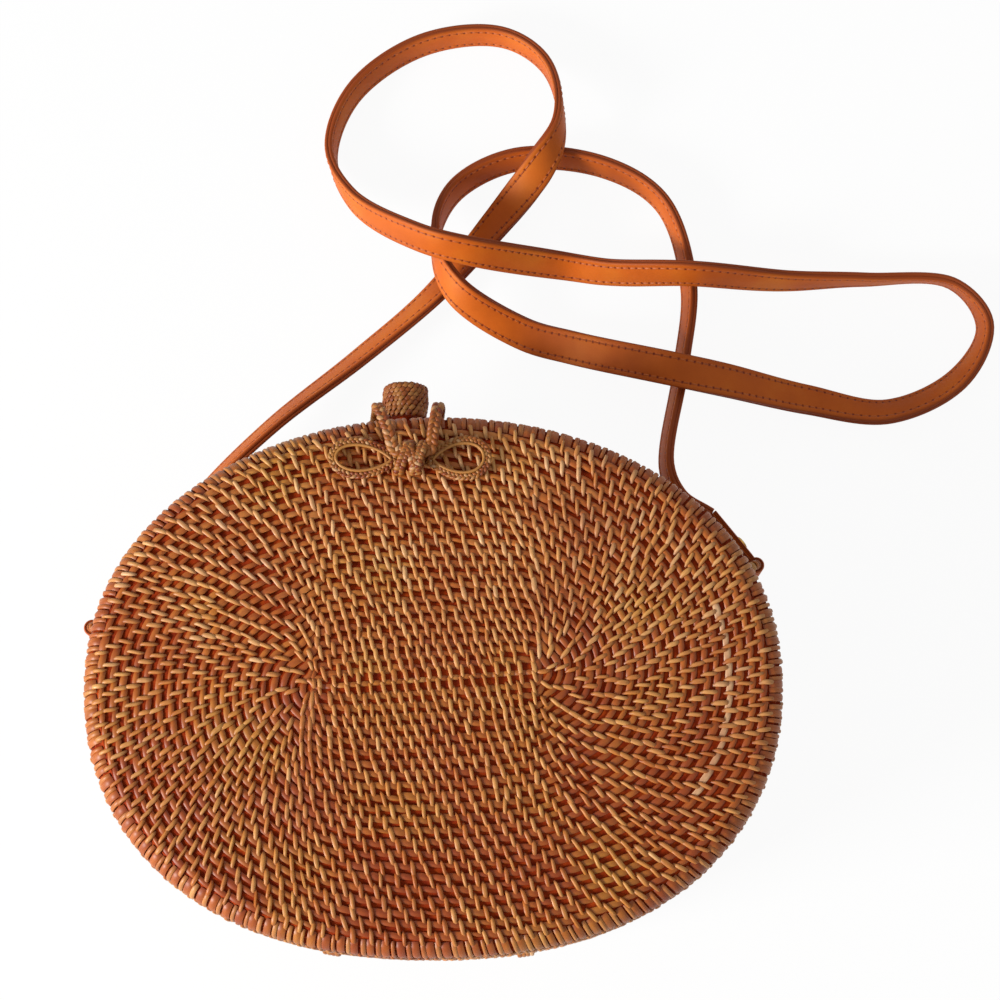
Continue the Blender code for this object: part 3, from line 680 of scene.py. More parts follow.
def split_rattan(name, tones, gold, red, tucked, gloss):
    material, tree, shader = new_material(name)
    place = add_node(tree, "Attribute", attribute_name="cane").outputs["Vector"]
    tone = add_node(tree, "SeparateXYZ", {0: place}).outputs[2]
    colour = add_node(tree, "ValToRGB", {0: tone}, stops=tones).outputs[0]
    solid = add_node(tree, "TexCoord").outputs["Object"]
    patches = {"Vector": solid, "Scale": 1 / CLOUD_SIZE, "Detail": 2.0}
    clouds = add_node(tree, "TexNoise", patches).outputs["Fac"]
    to_gold = add_node(tree, "MapRange", {0: clouds, 1: 0.5, 2: 0.72, 3: 0.0, 4: 0.5}).outputs[0]
    to_red = add_node(tree, "MapRange", {0: clouds, 1: 0.5, 2: 0.3, 3: 0.0, 4: 0.45}).outputs[0]
    stretch = add_node(tree, "VectorMath", {0: place, 1: (0.25, 1 / FIBRE_WIDTH, 60.0)}, operation="MULTIPLY")
    stretched = {"Vector": stretch.outputs[0], "Scale": 1.0, "Detail": 3.0}
    fibres = add_node(tree, "TexNoise", stretched).outputs["Fac"]
    streak = add_node(tree, "MapRange", {0: fibres, 1: 0.35, 2: 0.7, 3: 0.0, 4: 0.4}).outputs[0]
    # Painted shade: the tuck share darkens a strand where it goes under its neighbours. The same dark colour
    # also draws the real fibre streaks.
    tuck_shade_share = add_node(tree, "Attribute", attribute_name="tuck").outputs["Fac"]
    for share, shade in ((to_gold, gold), (to_red, red), (streak, tucked), (tuck_shade_share, tucked)):
        colour = add_node(tree, "Mix", {0: share, 6: colour, 7: linear(shade)}, data_type="RGBA").outputs[2]
    bump = add_node(tree, "Bump", {"Height": fibres, "Strength": 0.3, "Distance": 0.12 * MM}).outputs[0]
    rough = add_node(tree, "MapRange", {0: fibres, 3: gloss, 4: gloss + 0.2}).outputs[0]
    feed(tree, shader, {"Base Color": colour, "Normal": bump, "Roughness": rough, "IOR": 1.42})
    return material


rattan = split_rattan(
    "smoked and varnished rattan skin",
    [(0.0, "#8E3E08"), (0.4, "#B8661E"), (0.75, "#D09452"), (1.0, "#E8BC8C")],
    "#BE8A30",
    "#963E08",
    "#6A1400",
    0.36,
)
print("rattan ready")

# %% [markdown]
# ## The woven skin
#
# Both halves are one coil of cane that starts as a line between two eyes and winds outwards, over the
# edge and down the wall, to the rim. The skin function turns "how many rows out" and "how far round" into
# a point. On the panel a row lies between the start line and the oval at a share of the way; past it the
# row goes down a quarter circle and then straight down the wall.

# %% Skin of a half
EDGE_RADIUS = 7.5 * MM
PANEL_ROWS = 22
SIDE_ROWS = 10
WALL_BOTTOM = SEAM_Z + 4.6 * MM
LINE_LEFT = np.array([-37.4, -2.8]) * MM
LINE_RIGHT = np.array([32.9, 1.8]) * MM
SIDE_RUN = EDGE_RADIUS * math.pi / 2 + DEPTH - EDGE_RADIUS - WALL_BOTTOM
ROWS_LOST_LEFT = 2.0
ROWS_LOST_RIGHT = 0.8
OUTER_SPREAD = 0.12
END_FROM = 0.17
END_OVER = 0.45


def signed_power(x, power):
    """|x| to a power, with the sign of x."""
    return np.sign(x) * np.abs(x) ** power


def oval(turn, inset):
    """The superellipse drawn in by inset, and its outward direction, at a turn counted from +X.

    Its power is 2.163 less 0.09 sin(turn), so the lower side is a little fuller than the upper one.
    """
    across, along = np.cos(turn), np.sin(turn)
    share = 2 / (OUTLINE_POWER - POWER_SWING * along)
    x = signed_power(across, share) * (LENGTH / 2 - inset)
    y = signed_power(along, share) * (HEIGHT / 2 - inset)
    out_x = signed_power(across, 2 - share) / LENGTH
    out_y = signed_power(along, 2 - share) / HEIGHT
    size = np.hypot(out_x, out_y)
    return x, y, out_x / size, out_y / size


def ease(x):
    """0 below 0, 1 above 1, and 3 x^2 - 2 x^3 between."""
    x = np.clip(x, 0, 1)
    return x * x * (3 - 2 * x)


def share_of(rows, turn):
    """The share of the way to the edge: (rows - lost) / (22 - lost), with the outer rows spread at the ends.

    The first rows lie beside the start line and don't go round its ends, two of them at the left.
    """
    left, right = (ease((side * np.cos(turn) - END_FROM) / END_OVER) for side in (-1, 1))
    lost = ROWS_LOST_LEFT * left + ROWS_LOST_RIGHT * right
    share = np.clip((rows - lost) / (PANEL_ROWS - lost), 0, 1)
    return share * (1 + OUTER_SPREAD * (left + right) * (share - 1))


def front_skin(rows, turn):
    """Point and outward direction: start + share (edge - start), then round the edge and down the wall."""
    rows, turn = np.broadcast_arrays(np.asarray(rows, float), np.asarray(turn, float))
    run = np.maximum(rows - PANEL_ROWS, 0) * SIDE_RUN / SIDE_ROWS
    bend = np.minimum(run / EDGE_RADIUS, math.pi / 2)
    down = np.maximum(run - EDGE_RADIUS * math.pi / 2, 0)
    x, y, out_x, out_y = oval(turn, EDGE_RADIUS * (1 - np.sin(bend)))
    even_x = signed_power(np.cos(turn), 2 / OUTLINE_POWER) * LENGTH / 2
    start_x = np.clip(even_x, LINE_LEFT[0], LINE_RIGHT[0])
    part = (start_x - LINE_LEFT[0]) / (LINE_RIGHT[0] - LINE_LEFT[0])
    start_y = LINE_LEFT[1] + part * (LINE_RIGHT[1] - LINE_LEFT[1])
    share = share_of(rows, turn)
    z = DEPTH - EDGE_RADIUS * (1 - np.cos(bend)) - down
    point = np.stack([start_x + share * (x - start_x), start_y + share * (y - start_y), z], axis=-1)
    outward = np.stack([out_x * np.sin(bend), out_y * np.sin(bend), np.cos(bend)], axis=-1)
    return point, outward


def back_skin(rows, turn):
    """The front half's skin, turned over onto the seam."""
    point, outward = front_skin(rows, turn)
    return point * (1, 1, -1) + (0, 0, DEPTH), outward * (1, 1, -1)


print("rows from the start line to the rim:", PANEL_ROWS + SIDE_ROWS)

# %% [markdown]
# ## Where the stitches go
#
# The weaver sets each stitch between two of the row before, so the stitches of neighbouring rows stand
# like bricks. As the rows get longer, two stitches go into a gap here and there, and where the stitches
# may stand wider, a gap stays empty. The code grows the rows the same way and then evens them out a little.

# %% Stitch places
STITCH_PITCH = 4.9 * MM
CLOSER_BY = 1.4 * MM
CLOSER_WITHIN = 0.35
CLOSER_START = 1.25
CLOSER_ROWS = 14
SHAKE = 0.05
DRIFT_SPAN = 9
EVENINGS = 4
EVENING = 0.25
DENSE = np.linspace(0, 2 * math.pi, 2401)


def bag_pitch(row, turn):
    """4.9 mm, but 1.4 mm closer beside the start line, where the coil hardly bends, up to row 3.5.

    From there to row 17.5 that fades away, and along a row it fades with exp(-(cos(turn) / 0.35)^2).
    """
    middle = np.exp(-((np.cos(turn) / CLOSER_WITHIN) ** 2))
    return STITCH_PITCH - CLOSER_BY * middle * np.clip(CLOSER_START - row / CLOSER_ROWS, 0, 1)


def row_run(skin, row):
    """Length run round a row at each of the dense turns."""
    return run_of(skin(row, DENSE)[0])


def row_count(skin, row, pitch_of):
    """How many stitches fit between turn 0 and each dense turn: the length run over the pitch, added up."""
    middles = (DENSE[1:] + DENSE[:-1]) / 2
    return np.concatenate([[0], np.cumsum(np.diff(row_run(skin, row)) / pitch_of(row, middles))])


def next_row(last, total):
    """Midpoints of the last row's gaps, evened out; where the count has drifted by one, two in a gap or none.

    The drift is a stitch's place minus its number, averaged over nine stitches, and it goes on round the bag.
    """
    size = len(last)
    drift, ahead = last - np.arange(size), total - size
    around = np.concatenate([drift - ahead, drift, drift + ahead])
    calm = np.convolve(around, np.ones(DRIFT_SPAN) / DRIFT_SPAN, "same")[size : 2 * size + 1]
    inside = 1 + np.diff(np.floor(calm + random.random()))
    gap = np.diff(last, append=last[0] + total)
    two = inside > 1
    single = (last + gap * np.where(two, 1 / 3, 1 / 2))[inside > 0]
    places = np.sort(np.concatenate([single, (last + gap * 2 / 3)[two]]) % total)
    for _ in range(EVENINGS):
        before, after = np.roll(places, 1), np.roll(places, -1)
        before[0] -= total
        after[-1] += total
        places = places + EVENING * (before + after - 2 * places)
    return places


def stitch_turns(skin, last, pitch_of):
    """For each row before the last, the turns of its stitches, each shaken a little."""
    rows = []
    for row in range(last):
        count = row_count(skin, row + 0.5, pitch_of)
        if rows:
            places = next_row(np.interp(rows[-1], DENSE, count), count[-1])
        else:
            places = (np.arange(round(count[-1])) + 0.5) * count[-1] / round(count[-1])
        shaken = places + random.normal(0, SHAKE, len(places))
        rows.append(np.sort(np.interp(shaken % count[-1], count, DENSE)))
    return rows


front_rows = stitch_turns(front_skin, PANEL_ROWS + SIDE_ROWS, bag_pitch)
back_rows = stitch_turns(back_skin, PANEL_ROWS + SIDE_ROWS, bag_pitch)
print("stitches in each half:", sum(len(row) for row in front_rows), sum(len(row) for row in back_rows))

# %% [markdown]
# ## Long stitches and cross stitches
#
# Each stitch shows twice. Its long part crosses from one row to the next, slanting anticlockwise like a
# stretched S, and tucks in at both ends. Its cross part lies along the inner half of the row like a small
# bridge between two long ones, and leaves a dark window in the outer half. Long stitches stand higher, so
# each one catches the light along the side that faces the lamp, and the next one starts beside its foot.

# %% Stitches
LONG_REACH = 0.73
LONG_CREST = 0.15 * MM
LONG_DROP = 0.9 * MM
LONG_HALF_WIDTH = 0.72 * MM
CROSS_CREST = -0.35 * MM
CROSS_DROP = 0.6 * MM
CROSS_HALF_WIDTH = 1.05 * MM
CROSS_PLACE = 0.2
CROSS_OVERLAP = 1.12
CANE_RISE = 0.58 * MM
CANE_HALF_HEIGHT = 0.6 * MM
STATIONS = np.linspace(-1, 1, 6)
ROW_PITCH = 3.6 * MM


def turn_after(skin, row, turn, metres):
    """The turn reached by going some metres along a row from another turn."""
    run = row_run(skin, row)
    start = np.interp(turn % (2 * math.pi), DENSE, run)
    return np.interp((start + metres) % run[-1], run, DENSE)


def slant_of(turn):
    """How far a stitch leans off the outward direction: most at the oval's upper left and lower right.

    4 degrees everywhere, up to 5 more at the top and bottom, and up to 8 more at those two corners.
    """
    _, _, out_x, out_y = oval(turn, 0.0)
    corner = np.maximum(-2 * out_x * out_y, 0) ** 1.5
    return np.radians(4 + 5 * np.abs(out_y) + 8 * corner)


def tone_by_place(at_rows, at_turns):
    """How much lighter a stitch is drawn for where it lies: (sin(turn) + 0.5) far - 0.5, where far is row /
    12 and at most 1. It is darker near the start line and out at the bottom, and lighter out at the top.
    """
    far = np.clip(at_rows / 12, 0, 1)
    return (np.sin(at_turns) + 0.5) * far - 0.5


def strands(name, skin, rows, turns, height, half_width, tone, tuck, look):
    """Canes through the skin's points, each sunk so that its crest stands at the given height."""
    point, outward = skin(rows, turns)
    centres = point + (height - CANE_RISE)[..., None] * outward
    return canes(name, centres, outward, half_width, CANE_HALF_HEIGHT, SPLIT_CANE, look, tone, tuck)


def long_stitches(name, skin, turns_of, rows, look):
    """Across row i the place along it goes with tan(slant) t + 0.15 t^3; the height falls with |t|^5."""
    t = STATIONS
    at_rows, at_turns = [], []
    for i in rows:
        turns = turns_of[i]
        slant = slant_of(turns) + random.normal(0, math.radians(4), len(turns))
        reach = LONG_REACH + random.normal(0, 0.04, (len(turns), 1))
        sway = (np.tan(slant)[:, None] * t + 0.15 * t**3) * reach * ROW_PITCH
        at_rows.append(i + 0.5 + t * reach)
        at_turns.append(turn_after(skin, i + 0.5, turns[:, None], sway))
    at_rows, at_turns = np.concatenate(at_rows), np.concatenate(at_turns)
    count = len(at_rows)
    height = LONG_CREST + random.normal(0, 0.07 * MM, (count, 1)) - LONG_DROP * np.abs(t) ** 5
    spread = 1 + random.normal(0, 0.1, (count, 1))
    half_width = LONG_HALF_WIDTH * spread * (1 - 0.35 * np.abs(t) ** 3)
    tone = 0.5 + 0.3 * random.random((count, 1)) + 0.1 * (random.random((count, 1)) > 0.95)
    tone = tone + 0.1 * tone_by_place(at_rows, at_turns)
    # The 0.7 |t|^4 is painted shade where the long stitch goes under at both ends.
    return strands(name, skin, at_rows, at_turns, height, half_width, tone, 0.7 * np.abs(t) ** 4, look)


def cross_stitches(name, skin, turns_of, rows, look):
    """Along row i from one stitch's start to the next one's; the height falls with |t|^2.5.

    Each is set back by 1.1 mm times tan(slant), to lie between the feet of the long stitches.
    """
    t = STATIONS
    at_rows, at_turns = [], []
    for i in rows:
        run = row_run(skin, i)
        start = np.interp(turns_of[i], DENSE, run)
        end = np.append(start[1:], start[0] + run[-1])
        middle, half = (start + end) / 2 - np.tan(slant_of(turns_of[i])) * 1.1 * MM, (end - start) / 2
        place = middle[:, None] + CROSS_OVERLAP * half[:, None] * t
        at_rows.append(i + CROSS_PLACE + 0.13 * t + random.normal(0, 0.05, (len(start), 1)))
        at_turns.append(np.interp(place % run[-1], run, DENSE))
    at_rows, at_turns = np.concatenate(at_rows), np.concatenate(at_turns)
    count = len(at_rows)
    height = CROSS_CREST + random.normal(0, 0.06 * MM, (count, 1)) - CROSS_DROP * np.abs(t) ** 2.5
    spread = 1 + random.normal(0, 0.13, (count, 1))
    half_width = CROSS_HALF_WIDTH * spread * (1 - 0.25 * np.abs(t) ** 2)
    # Painted shade: the cross parts get a much lower tone than the long parts of the same canes, as they lie
    # lower and catch less light.
    tone = 0.02 + 0.36 * random.random((count, 1)) + 0.2 * tone_by_place(at_rows, at_turns)
    row, turn = at_rows[:, 3] - CROSS_PLACE, at_turns[:, 3]
    pale = (np.abs(row - PALE_ROW) < 0.4) & ((turn > PALE_FROM) | (turn < PALE_TO))
    tone = np.where(pale[:, None], 1.0, tone)
    # The 0.8 |t|^3 is painted shade where the cross stitch goes under at both ends.
    return strands(name, skin, at_rows, at_turns, height, half_width, tone, 0.8 * np.abs(t) ** 3, look)


# %% [markdown]
# ## One pale cane and the bound edge
#
# At the right a whole cane, nineteen rows out, came out pale, and it shows in the photograph as a light
# arc. The edge is different too: one long stitch after another lies over it, light and dark in turn,
# and hides the rows below. The first row lies on the start line itself and is made apart, because both
# sides of that line share it.

# %% Weaving both halves
PALE_ROW = 19
PALE_FROM = math.radians(330)
PALE_TO = math.radians(18)
EDGE_FIRST = 22.75
EDGE_LAST = 25.2
EDGE_ROW = 24
EDGE_PITCH = 2.35 * MM
EDGE_SWAY = 0.5 * MM
EDGE_DROP = 0.7 * MM
EDGE_CRESTS = (-0.05, -0.15)
EDGE_HALF_WIDTHS = (0.78, 1.32)
FIRST_ROW_HALVES = (0.85 * MM, 0.42 * MM)
FIRST_ROW_SUNK = 0.4 * MM
PANEL_END = 23
WALL_START = 25


def edge_stitches(name, skin, look):
    """Straight over the edge from one row to another, light ones high and golden ones low, in turn."""
    middle, half = (EDGE_FIRST + EDGE_LAST) / 2, (EDGE_LAST - EDGE_FIRST) / 2
    run = row_run(skin, middle)
    count = 2 * round(run[-1] / EDGE_PITCH / 2)
    places = (np.arange(count) + random.normal(0, 0.09, count)) * run[-1] / count
    turn = np.interp(places % run[-1], run, DENSE)[:, None]
    t = np.linspace(-1, 1, 8)
    at_rows = middle + half * t + random.normal(0, 0.04, (count, 1))
    at_turns = turn_after(skin, EDGE_ROW, turn, EDGE_SWAY * t)
    high = (np.arange(count) % 2 == 0)[:, None]
    low_side = ease(-np.sin(turn) * 2 - 0.6)
    height = np.where(high, *EDGE_CRESTS) * MM - EDGE_DROP * np.abs(t) ** 6
    half_width = np.where(high, *EDGE_HALF_WIDTHS) * MM * (1 + random.normal(0, 0.08, (count, 1)))
    tone = np.where(high, 0.5 + 0.1 * low_side, 0.28 - 0.08 * low_side)
    tone = tone + random.normal(0, 0.08, (count, 1))
    # Painted shade: a little on every edge stitch, and more where it goes under.
    tuck = 0.15 + 0.5 * np.abs(t) ** 6
    return strands(name, skin, at_rows, at_turns, height, half_width, np.clip(tone, 0, 1), tuck, look)


def first_row(name, skin, look):
    """Bridges on the start line, one for each stitch pitch."""
    count = round(np.linalg.norm(LINE_RIGHT - LINE_LEFT) / (STITCH_PITCH - CLOSER_BY))
    t = STATIONS
    share = (np.arange(count)[:, None] + 0.5 + 0.56 * t) / count
    line = LINE_LEFT + share[..., None] * (LINE_RIGHT - LINE_LEFT)
    up = skin(0.0, 0.0)[1]
    height = CROSS_CREST - CROSS_DROP * np.abs(t) ** 2.5 - FIRST_ROW_SUNK
    level = skin(0.0, 0.0)[0][2] + np.sign(up[2]) * np.broadcast_to(height, share.shape)
    centres = np.concatenate([line, level[..., None]], axis=-1)
    outward = np.broadcast_to(up, centres.shape)
    tone = random.random((count, 1)) * 0.7
    # Painted shade where each bridge goes under.
    tuck = 0.8 * np.abs(t) ** 3
    return canes(name, centres, outward, *FIRST_ROW_HALVES, SPLIT_CANE, look, tone, tuck)


woven = []
for half, skin, turns_of in (("front", front_skin, front_rows), ("back", back_skin, back_rows)):
    look = (rattan, f"{half}_half", "rattan")
    for part, rows in (("panel", range(PANEL_END)), ("wall", range(WALL_START, PANEL_ROWS + SIDE_ROWS))):
        woven.append(long_stitches(f"{half}_{part}_long_stitches", skin, turns_of, rows, look))
        woven.append(cross_stitches(f"{half}_{part}_cross_stitches", skin, turns_of, rows[1:], look))
    woven.append(edge_stitches(f"{half}_edge_stitches", skin, look))
    woven.append(first_row(f"{half}_first_row", skin, look))
print("woven pieces:", {piece.name: len(piece.data.polygons) for piece in woven})

# %% [markdown]
# ## The dark core under the stitches
#
# Between the stitches the coil's core shows: dark bundles of reed with little light on them. Here it is
# one closed shell per half, a bulge for each row, set back under the stitches. Without it the bag would
# be a sieve. The start line is a seam where the two sides of the first row meet, so doubles are merged.

# %% Core material and core shells
CORE_DEPTH = 1.0 * MM
SHELL_DEPTH = 3.2 * MM
ROW_VALLEY = 0.35 * MM
MERGE_WITHIN = 0.002 * MM
CORE_TURNS = 288


def dark_reed():
    material, tree, shader = new_material("smoked reed core with painted shade")
    solid = add_node(tree, "TexCoord").outputs["Object"]
    noise = add_node(tree, "TexNoise", {"Vector": solid, "Scale": 420.0, "Detail": 5.0}).outputs["Fac"]
    # Partly painted shade: the core's own reed brown is set dark so that the windows between the stitches
    # read as shade.
    smoked = [(0.3, "#701A00"), (0.55, "#922E00"), (0.8, "#AA4608")]
    colour = add_node(tree, "ValToRGB", {0: noise}, stops=smoked).outputs[0]
    bump = add_node(tree, "Bump", {"Height": noise, "Strength": 0.6, "Distance": 0.3 * MM}).outputs[0]
    matt = {"Roughness": 0.8, "Specular IOR Level": 0.15}
    feed(tree, shader, {"Base Color": colour, "Normal": bump, **matt})
    return material


def turns_round(count):
    return np.arange(count) * 2 * math.pi / count


def merge_doubles(piece):
    """Joins points that lie on each other, as they do along the start line."""
    shape = bmesh.new()
    shape.from_mesh(piece.data)
    bmesh.ops.remove_doubles(shape, verts=shape.verts, dist=MERGE_WITHIN)
    shape.to_mesh(piece.data)
    shape.free()


def core_shell(name, skin, material, body, mirrored):
    """Outer face: the skin set back, with a cosine bulge between row lines. Inner face: a plain wall."""
    turns = turns_round(CORE_TURNS)
    outer_rows = np.linspace(0, PANEL_ROWS + SIDE_ROWS, 4 * (PANEL_ROWS + SIDE_ROWS) + 1)
    inner_rows = np.concatenate([np.linspace(PANEL_ROWS + SIDE_ROWS, PANEL_ROWS, 16), [PANEL_ROWS / 2, 0]])
    rows = np.concatenate([outer_rows, inner_rows])
    valley = ROW_VALLEY * (np.cos(2 * math.pi * outer_rows) + 1) * np.clip(outer_rows - 2, 0, 1)
    depth = np.concatenate([CORE_DEPTH + valley, np.full(len(inner_rows), SHELL_DEPTH)])
    point, outward = skin(rows[:, None], turns[None, :])
    points = point - depth[:, None, None] * outward
    index = np.arange(points.shape[0] * CORE_TURNS).reshape(-1, CORE_TURNS)
    here, ahead = index[:-1], index[1:]
    quads = np.stack([here, ahead, np.roll(ahead, -1, axis=1), np.roll(here, -1, axis=1)], axis=-1)
    if mirrored:
        quads = quads[..., ::-1]
    piece = make_piece(name, points, [quads.reshape(-1, 4)], material, body, "rattan")
    merge_doubles(piece)
    return piece


reed = dark_reed()
for half, skin in (("front", front_skin), ("back", back_skin)):
    core = core_shell(f"{half}_core", skin, reed, f"{half}_half", half == "back")
    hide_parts(f"{half}_shell")
    print(core.name, len(core.data.polygons), "faces")

# %% [markdown]
# ## Wound cane
#
# The rims and the eyes are cane wound tightly round a thicker cane. That is a helix: while the path runs
# one pitch, the winding goes once round it. Its section is wider than the pitch, so each turn covers the
# edge of the one before.


# %% Winding
def looped(line):
    """The line with its first row again at its end."""
    return np.concatenate([line, line[:1]])


def frames_along(path, outward, run, count, closed):
    """At even steps of length: centre, sideways direction, outward direction and the length run."""
    at = np.linspace(0, run[-1], count, endpoint=not closed)
    centre, out = read_along(at, run, path), read_along(at, run, outward)
    travel = travel_of(centre, closed)
    side = unit(np.cross(out, travel))
    return centre, side, np.cross(travel, side), at


def winding(name, path, outward, radius, pitch, half_width, half_height, look, closed=False, per_turn=12):
    """A helix about the path: centre + radius (cos(a) sideways + sin(a) outward), one turn for each pitch."""
    if closed:
        path, outward = looped(path), looped(outward)
    run = run_of(path)
    turns = round(run[-1] / pitch)
    count = turns * per_turn if closed else turns * per_turn + 1
    centre, side, out, at = frames_along(path, outward, run, count, closed)
    angle = (2 * math.pi * turns * at / run[-1])[:, None]
    radial = np.cos(angle) * side + np.sin(angle) * out
    tone = np.repeat(random.random(turns + 1), per_turn)[: len(at)]
    return canes(
        name, (centre + radius * radial)[None], radial[None], half_width, half_height,
        SPLIT_CANE, look, tone[None], 0.0, closed,
    )


RIM_RADIUS = 1.8 * MM
RIM_PITCH = 2.0 * MM
RIM_WINDING = (1.35 * MM, RIM_PITCH, 1.1 * MM, 0.42 * MM)
for half, sign in (("front", 1), ("back", -1)):
    turns = np.linspace(0, 2 * math.pi, 720, endpoint=False)
    x, y, out_x, out_y = oval(turns, RIM_RADIUS)
    path = np.stack([x, y, np.full_like(x, SEAM_Z + sign * (0.4 * MM + RIM_RADIUS))], axis=-1)
    outward = np.stack([out_x, out_y, np.zeros_like(x)], axis=-1)
    look = (rattan, f"{half}_half", "rattan")
    rim = winding(f"{half}_rim", path, outward, *RIM_WINDING, look, closed=True)
    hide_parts(f"{half}_rim_coil")
print("rims wound with", round(run_of(path)[-1] / RIM_PITCH), "turns each")

# %% [markdown]
# ## Strap eyes
#
# An eye is a thick cane bent square, pushed through the wall with both feet, and wound over. The same
# winding goes round a path with eased corners.


# %% Strap eyes
EYE_FOOT = 1.6 * MM
EYE_WINDING = (1.3 * MM, 1.5 * MM, 0.85 * MM, 0.45 * MM)


def rounded_path(corners, closed=False, steps=8):
    """Straight runs whose corners, each a (point, reach), are eased by a quadratic curve over that reach."""
    points = []
    count = len(corners)
    for i, (corner, reach) in enumerate(corners):
        corner = np.array(corner, float)
        if reach == 0 or (not closed and i in (0, count - 1)):
            points.append(corner[None])
            continue
        start = corner + unit(np.array(corners[i - 1][0]) - corner) * reach
        end = corner + unit(np.array(corners[(i + 1) % count][0]) - corner) * reach
        part = np.linspace(0, 1, steps)[:, None]
        points.append(start * (1 - part) ** 2 + 2 * corner * part * (1 - part) + end * part**2)
    return np.concatenate(points)


def even_path(points, count, closed=False):
    """The same line at even steps of length."""
    source = looped(points) if closed else points
    run = run_of(source)
    return read_along(np.linspace(0, run[-1], count, endpoint=not closed), run, source)


def strap_eye(side):
    wall, normal, _ = eye_place(side)
    low, high = (np.array([0, 0, EYE_Z + sign * EYE_HALF_HEIGHT]) for sign in (-1, 1))
    foot, out = wall - EYE_FOOT * normal, wall + EYE_REACH * normal
    corners = [(foot + low, 0), (out + low, EYE_ROUNDING), (out + high, EYE_ROUNDING), (foot + high, 0)]
    path = even_path(rounded_path(corners), 160)
    facing = np.broadcast_to(np.cross(normal, (0, 0, 1)), path.shape)
    look = (braid_rattan, "back_half", "rattan_braid")
    eye = winding(f"cane_eye_{side}", path, facing, *EYE_WINDING, look)
    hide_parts(f"strap_eye_{side}")


braid_rattan = split_rattan(
    "varnished rattan braid",
    [(0.0, "#823804"), (0.4, "#AC601A"), (0.8, "#CC9048"), (1.0, "#E8BA86")],
    "#B6842C",
    "#8C3A06",
    "#5A1400",
    0.38,
)
for side in EYES:
    strap_eye(side)
print("eyes wound")

# %% [markdown]
# ## Hinge lashings
#
# Two lashings of cane tie the rim coils together at the lower side and let the halves hinge. They hug the
# coils, so they hardly stand out from the wall. They bend when the bag opens, so the piece rides on
# neither half.

# %% Lashings
LASHING_TURNS = 4
LASHING_STEPS = 20
LASHING_PITCH = 1.3 * MM
LASHING_POWER = 2.6
LASHING_HALVES = (0.75 * MM, 0.42 * MM)


def hinge_lashing(side, x):
    """Turns round both coils: an oval in Y and Z, moving along X by one pitch each turn."""
    angle = np.linspace(0, 2 * math.pi * LASHING_TURNS, LASHING_TURNS * LASHING_STEPS + 1)
    along = x + (angle / (2 * math.pi) - LASHING_TURNS / 2) * LASHING_PITCH
    share = 2 / LASHING_POWER
    across, up = np.cos(angle), np.sin(angle)
    power = OUTLINE_POWER + POWER_SWING
    rim = HEIGHT / 2 * (1 - np.abs(along / (LENGTH / 2)) ** power) ** (1 / power)
    y = RIM_RADIUS - rim + 2.5 * MM * signed_power(across, share)
    z = SEAM_Z + 4.5 * MM * signed_power(up, share)
    path = np.stack([along, y, z], axis=-1)
    outward = unit(np.stack([np.zeros_like(along), across, up], axis=-1))
    tone = np.repeat(random.random(LASHING_TURNS + 1), LASHING_STEPS)[: len(angle)]
    mesh_look = (braid_rattan, None, "rattan_braid")
    shape = (path[None], outward[None], *LASHING_HALVES, SPLIT_CANE)
    piece = canes(f"lashing_{side}", *shape, mesh_look, tone[None])
    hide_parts(f"hinge_lashing_{side}")
    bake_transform(piece)
    return piece


lashings = [hinge_lashing("left", -33.8 * MM), hinge_lashing("right", 29.0 * MM)]
print("lashings", [piece.name for piece in lashings])

# %% [markdown]
# ## The knob
#
# The knob is a barrel of fine stitches wound round a plug of reed, on a cane stem. The same stitch code
# covers it: only the skin changes, to a barrel whose rows run up its side and in over its domed end.

# %% Knob
KNOB = np.array([-11.1, 97.0, 28.0]) * MM
KNOB_LENGTH = 12.3 * MM
KNOB_SIDE_ROWS = 7
KNOB_END_ROWS = 4
KNOB_DOME = 1.4 * MM
KNOB_PITCH = 2.1 * MM
PLUG_DEPTH = 0.75 * MM
KNOB_CANE_HALVES = (0.78 * MM, 0.4 * MM)
KNOB_PROFILE = np.array([(0.0, 7.0), (0.5, 7.85), (0.9, 7.6), (1.0, 7.1)])


def knob_round(rows):
    """How far over its end a row lies, from 0 to 1, and the row's radius."""
    up = np.clip(rows / KNOB_SIDE_ROWS, 0, 1)
    over = np.clip((rows - KNOB_SIDE_ROWS) / KNOB_END_ROWS, 0, 0.999)
    return over, np.interp(up, KNOB_PROFILE[:, 0], KNOB_PROFILE[:, 1]) * MM * (1 - over)


def knob_skin(rows, turn):
    """The barrel's side, then its end, whose radius closes to nothing while it domes up."""
    rows, turn = np.broadcast_arrays(np.asarray(rows, float), np.asarray(turn, float))
    over, radius = knob_round(rows)
    up = np.clip(rows / KNOB_SIDE_ROWS, 0, 1)
    y = KNOB[1] + (KNOB_LENGTH - KNOB_DOME) * up + KNOB_DOME * np.sin(over * math.pi / 2)
    point = np.stack([KNOB[0] + radius * np.cos(turn), y, KNOB[2] - radius * np.sin(turn)], axis=-1)
    lean = np.clip(over * 4, 0, 1) * math.pi / 2
    outward = np.stack(
        [np.cos(turn) * np.cos(lean), np.sin(lean), -np.sin(turn) * np.cos(lean)], axis=-1
    )
    return point, outward


def knob_pitch(row, turn):
    """Even all over the knob."""
    return np.full_like(turn, KNOB_PITCH)


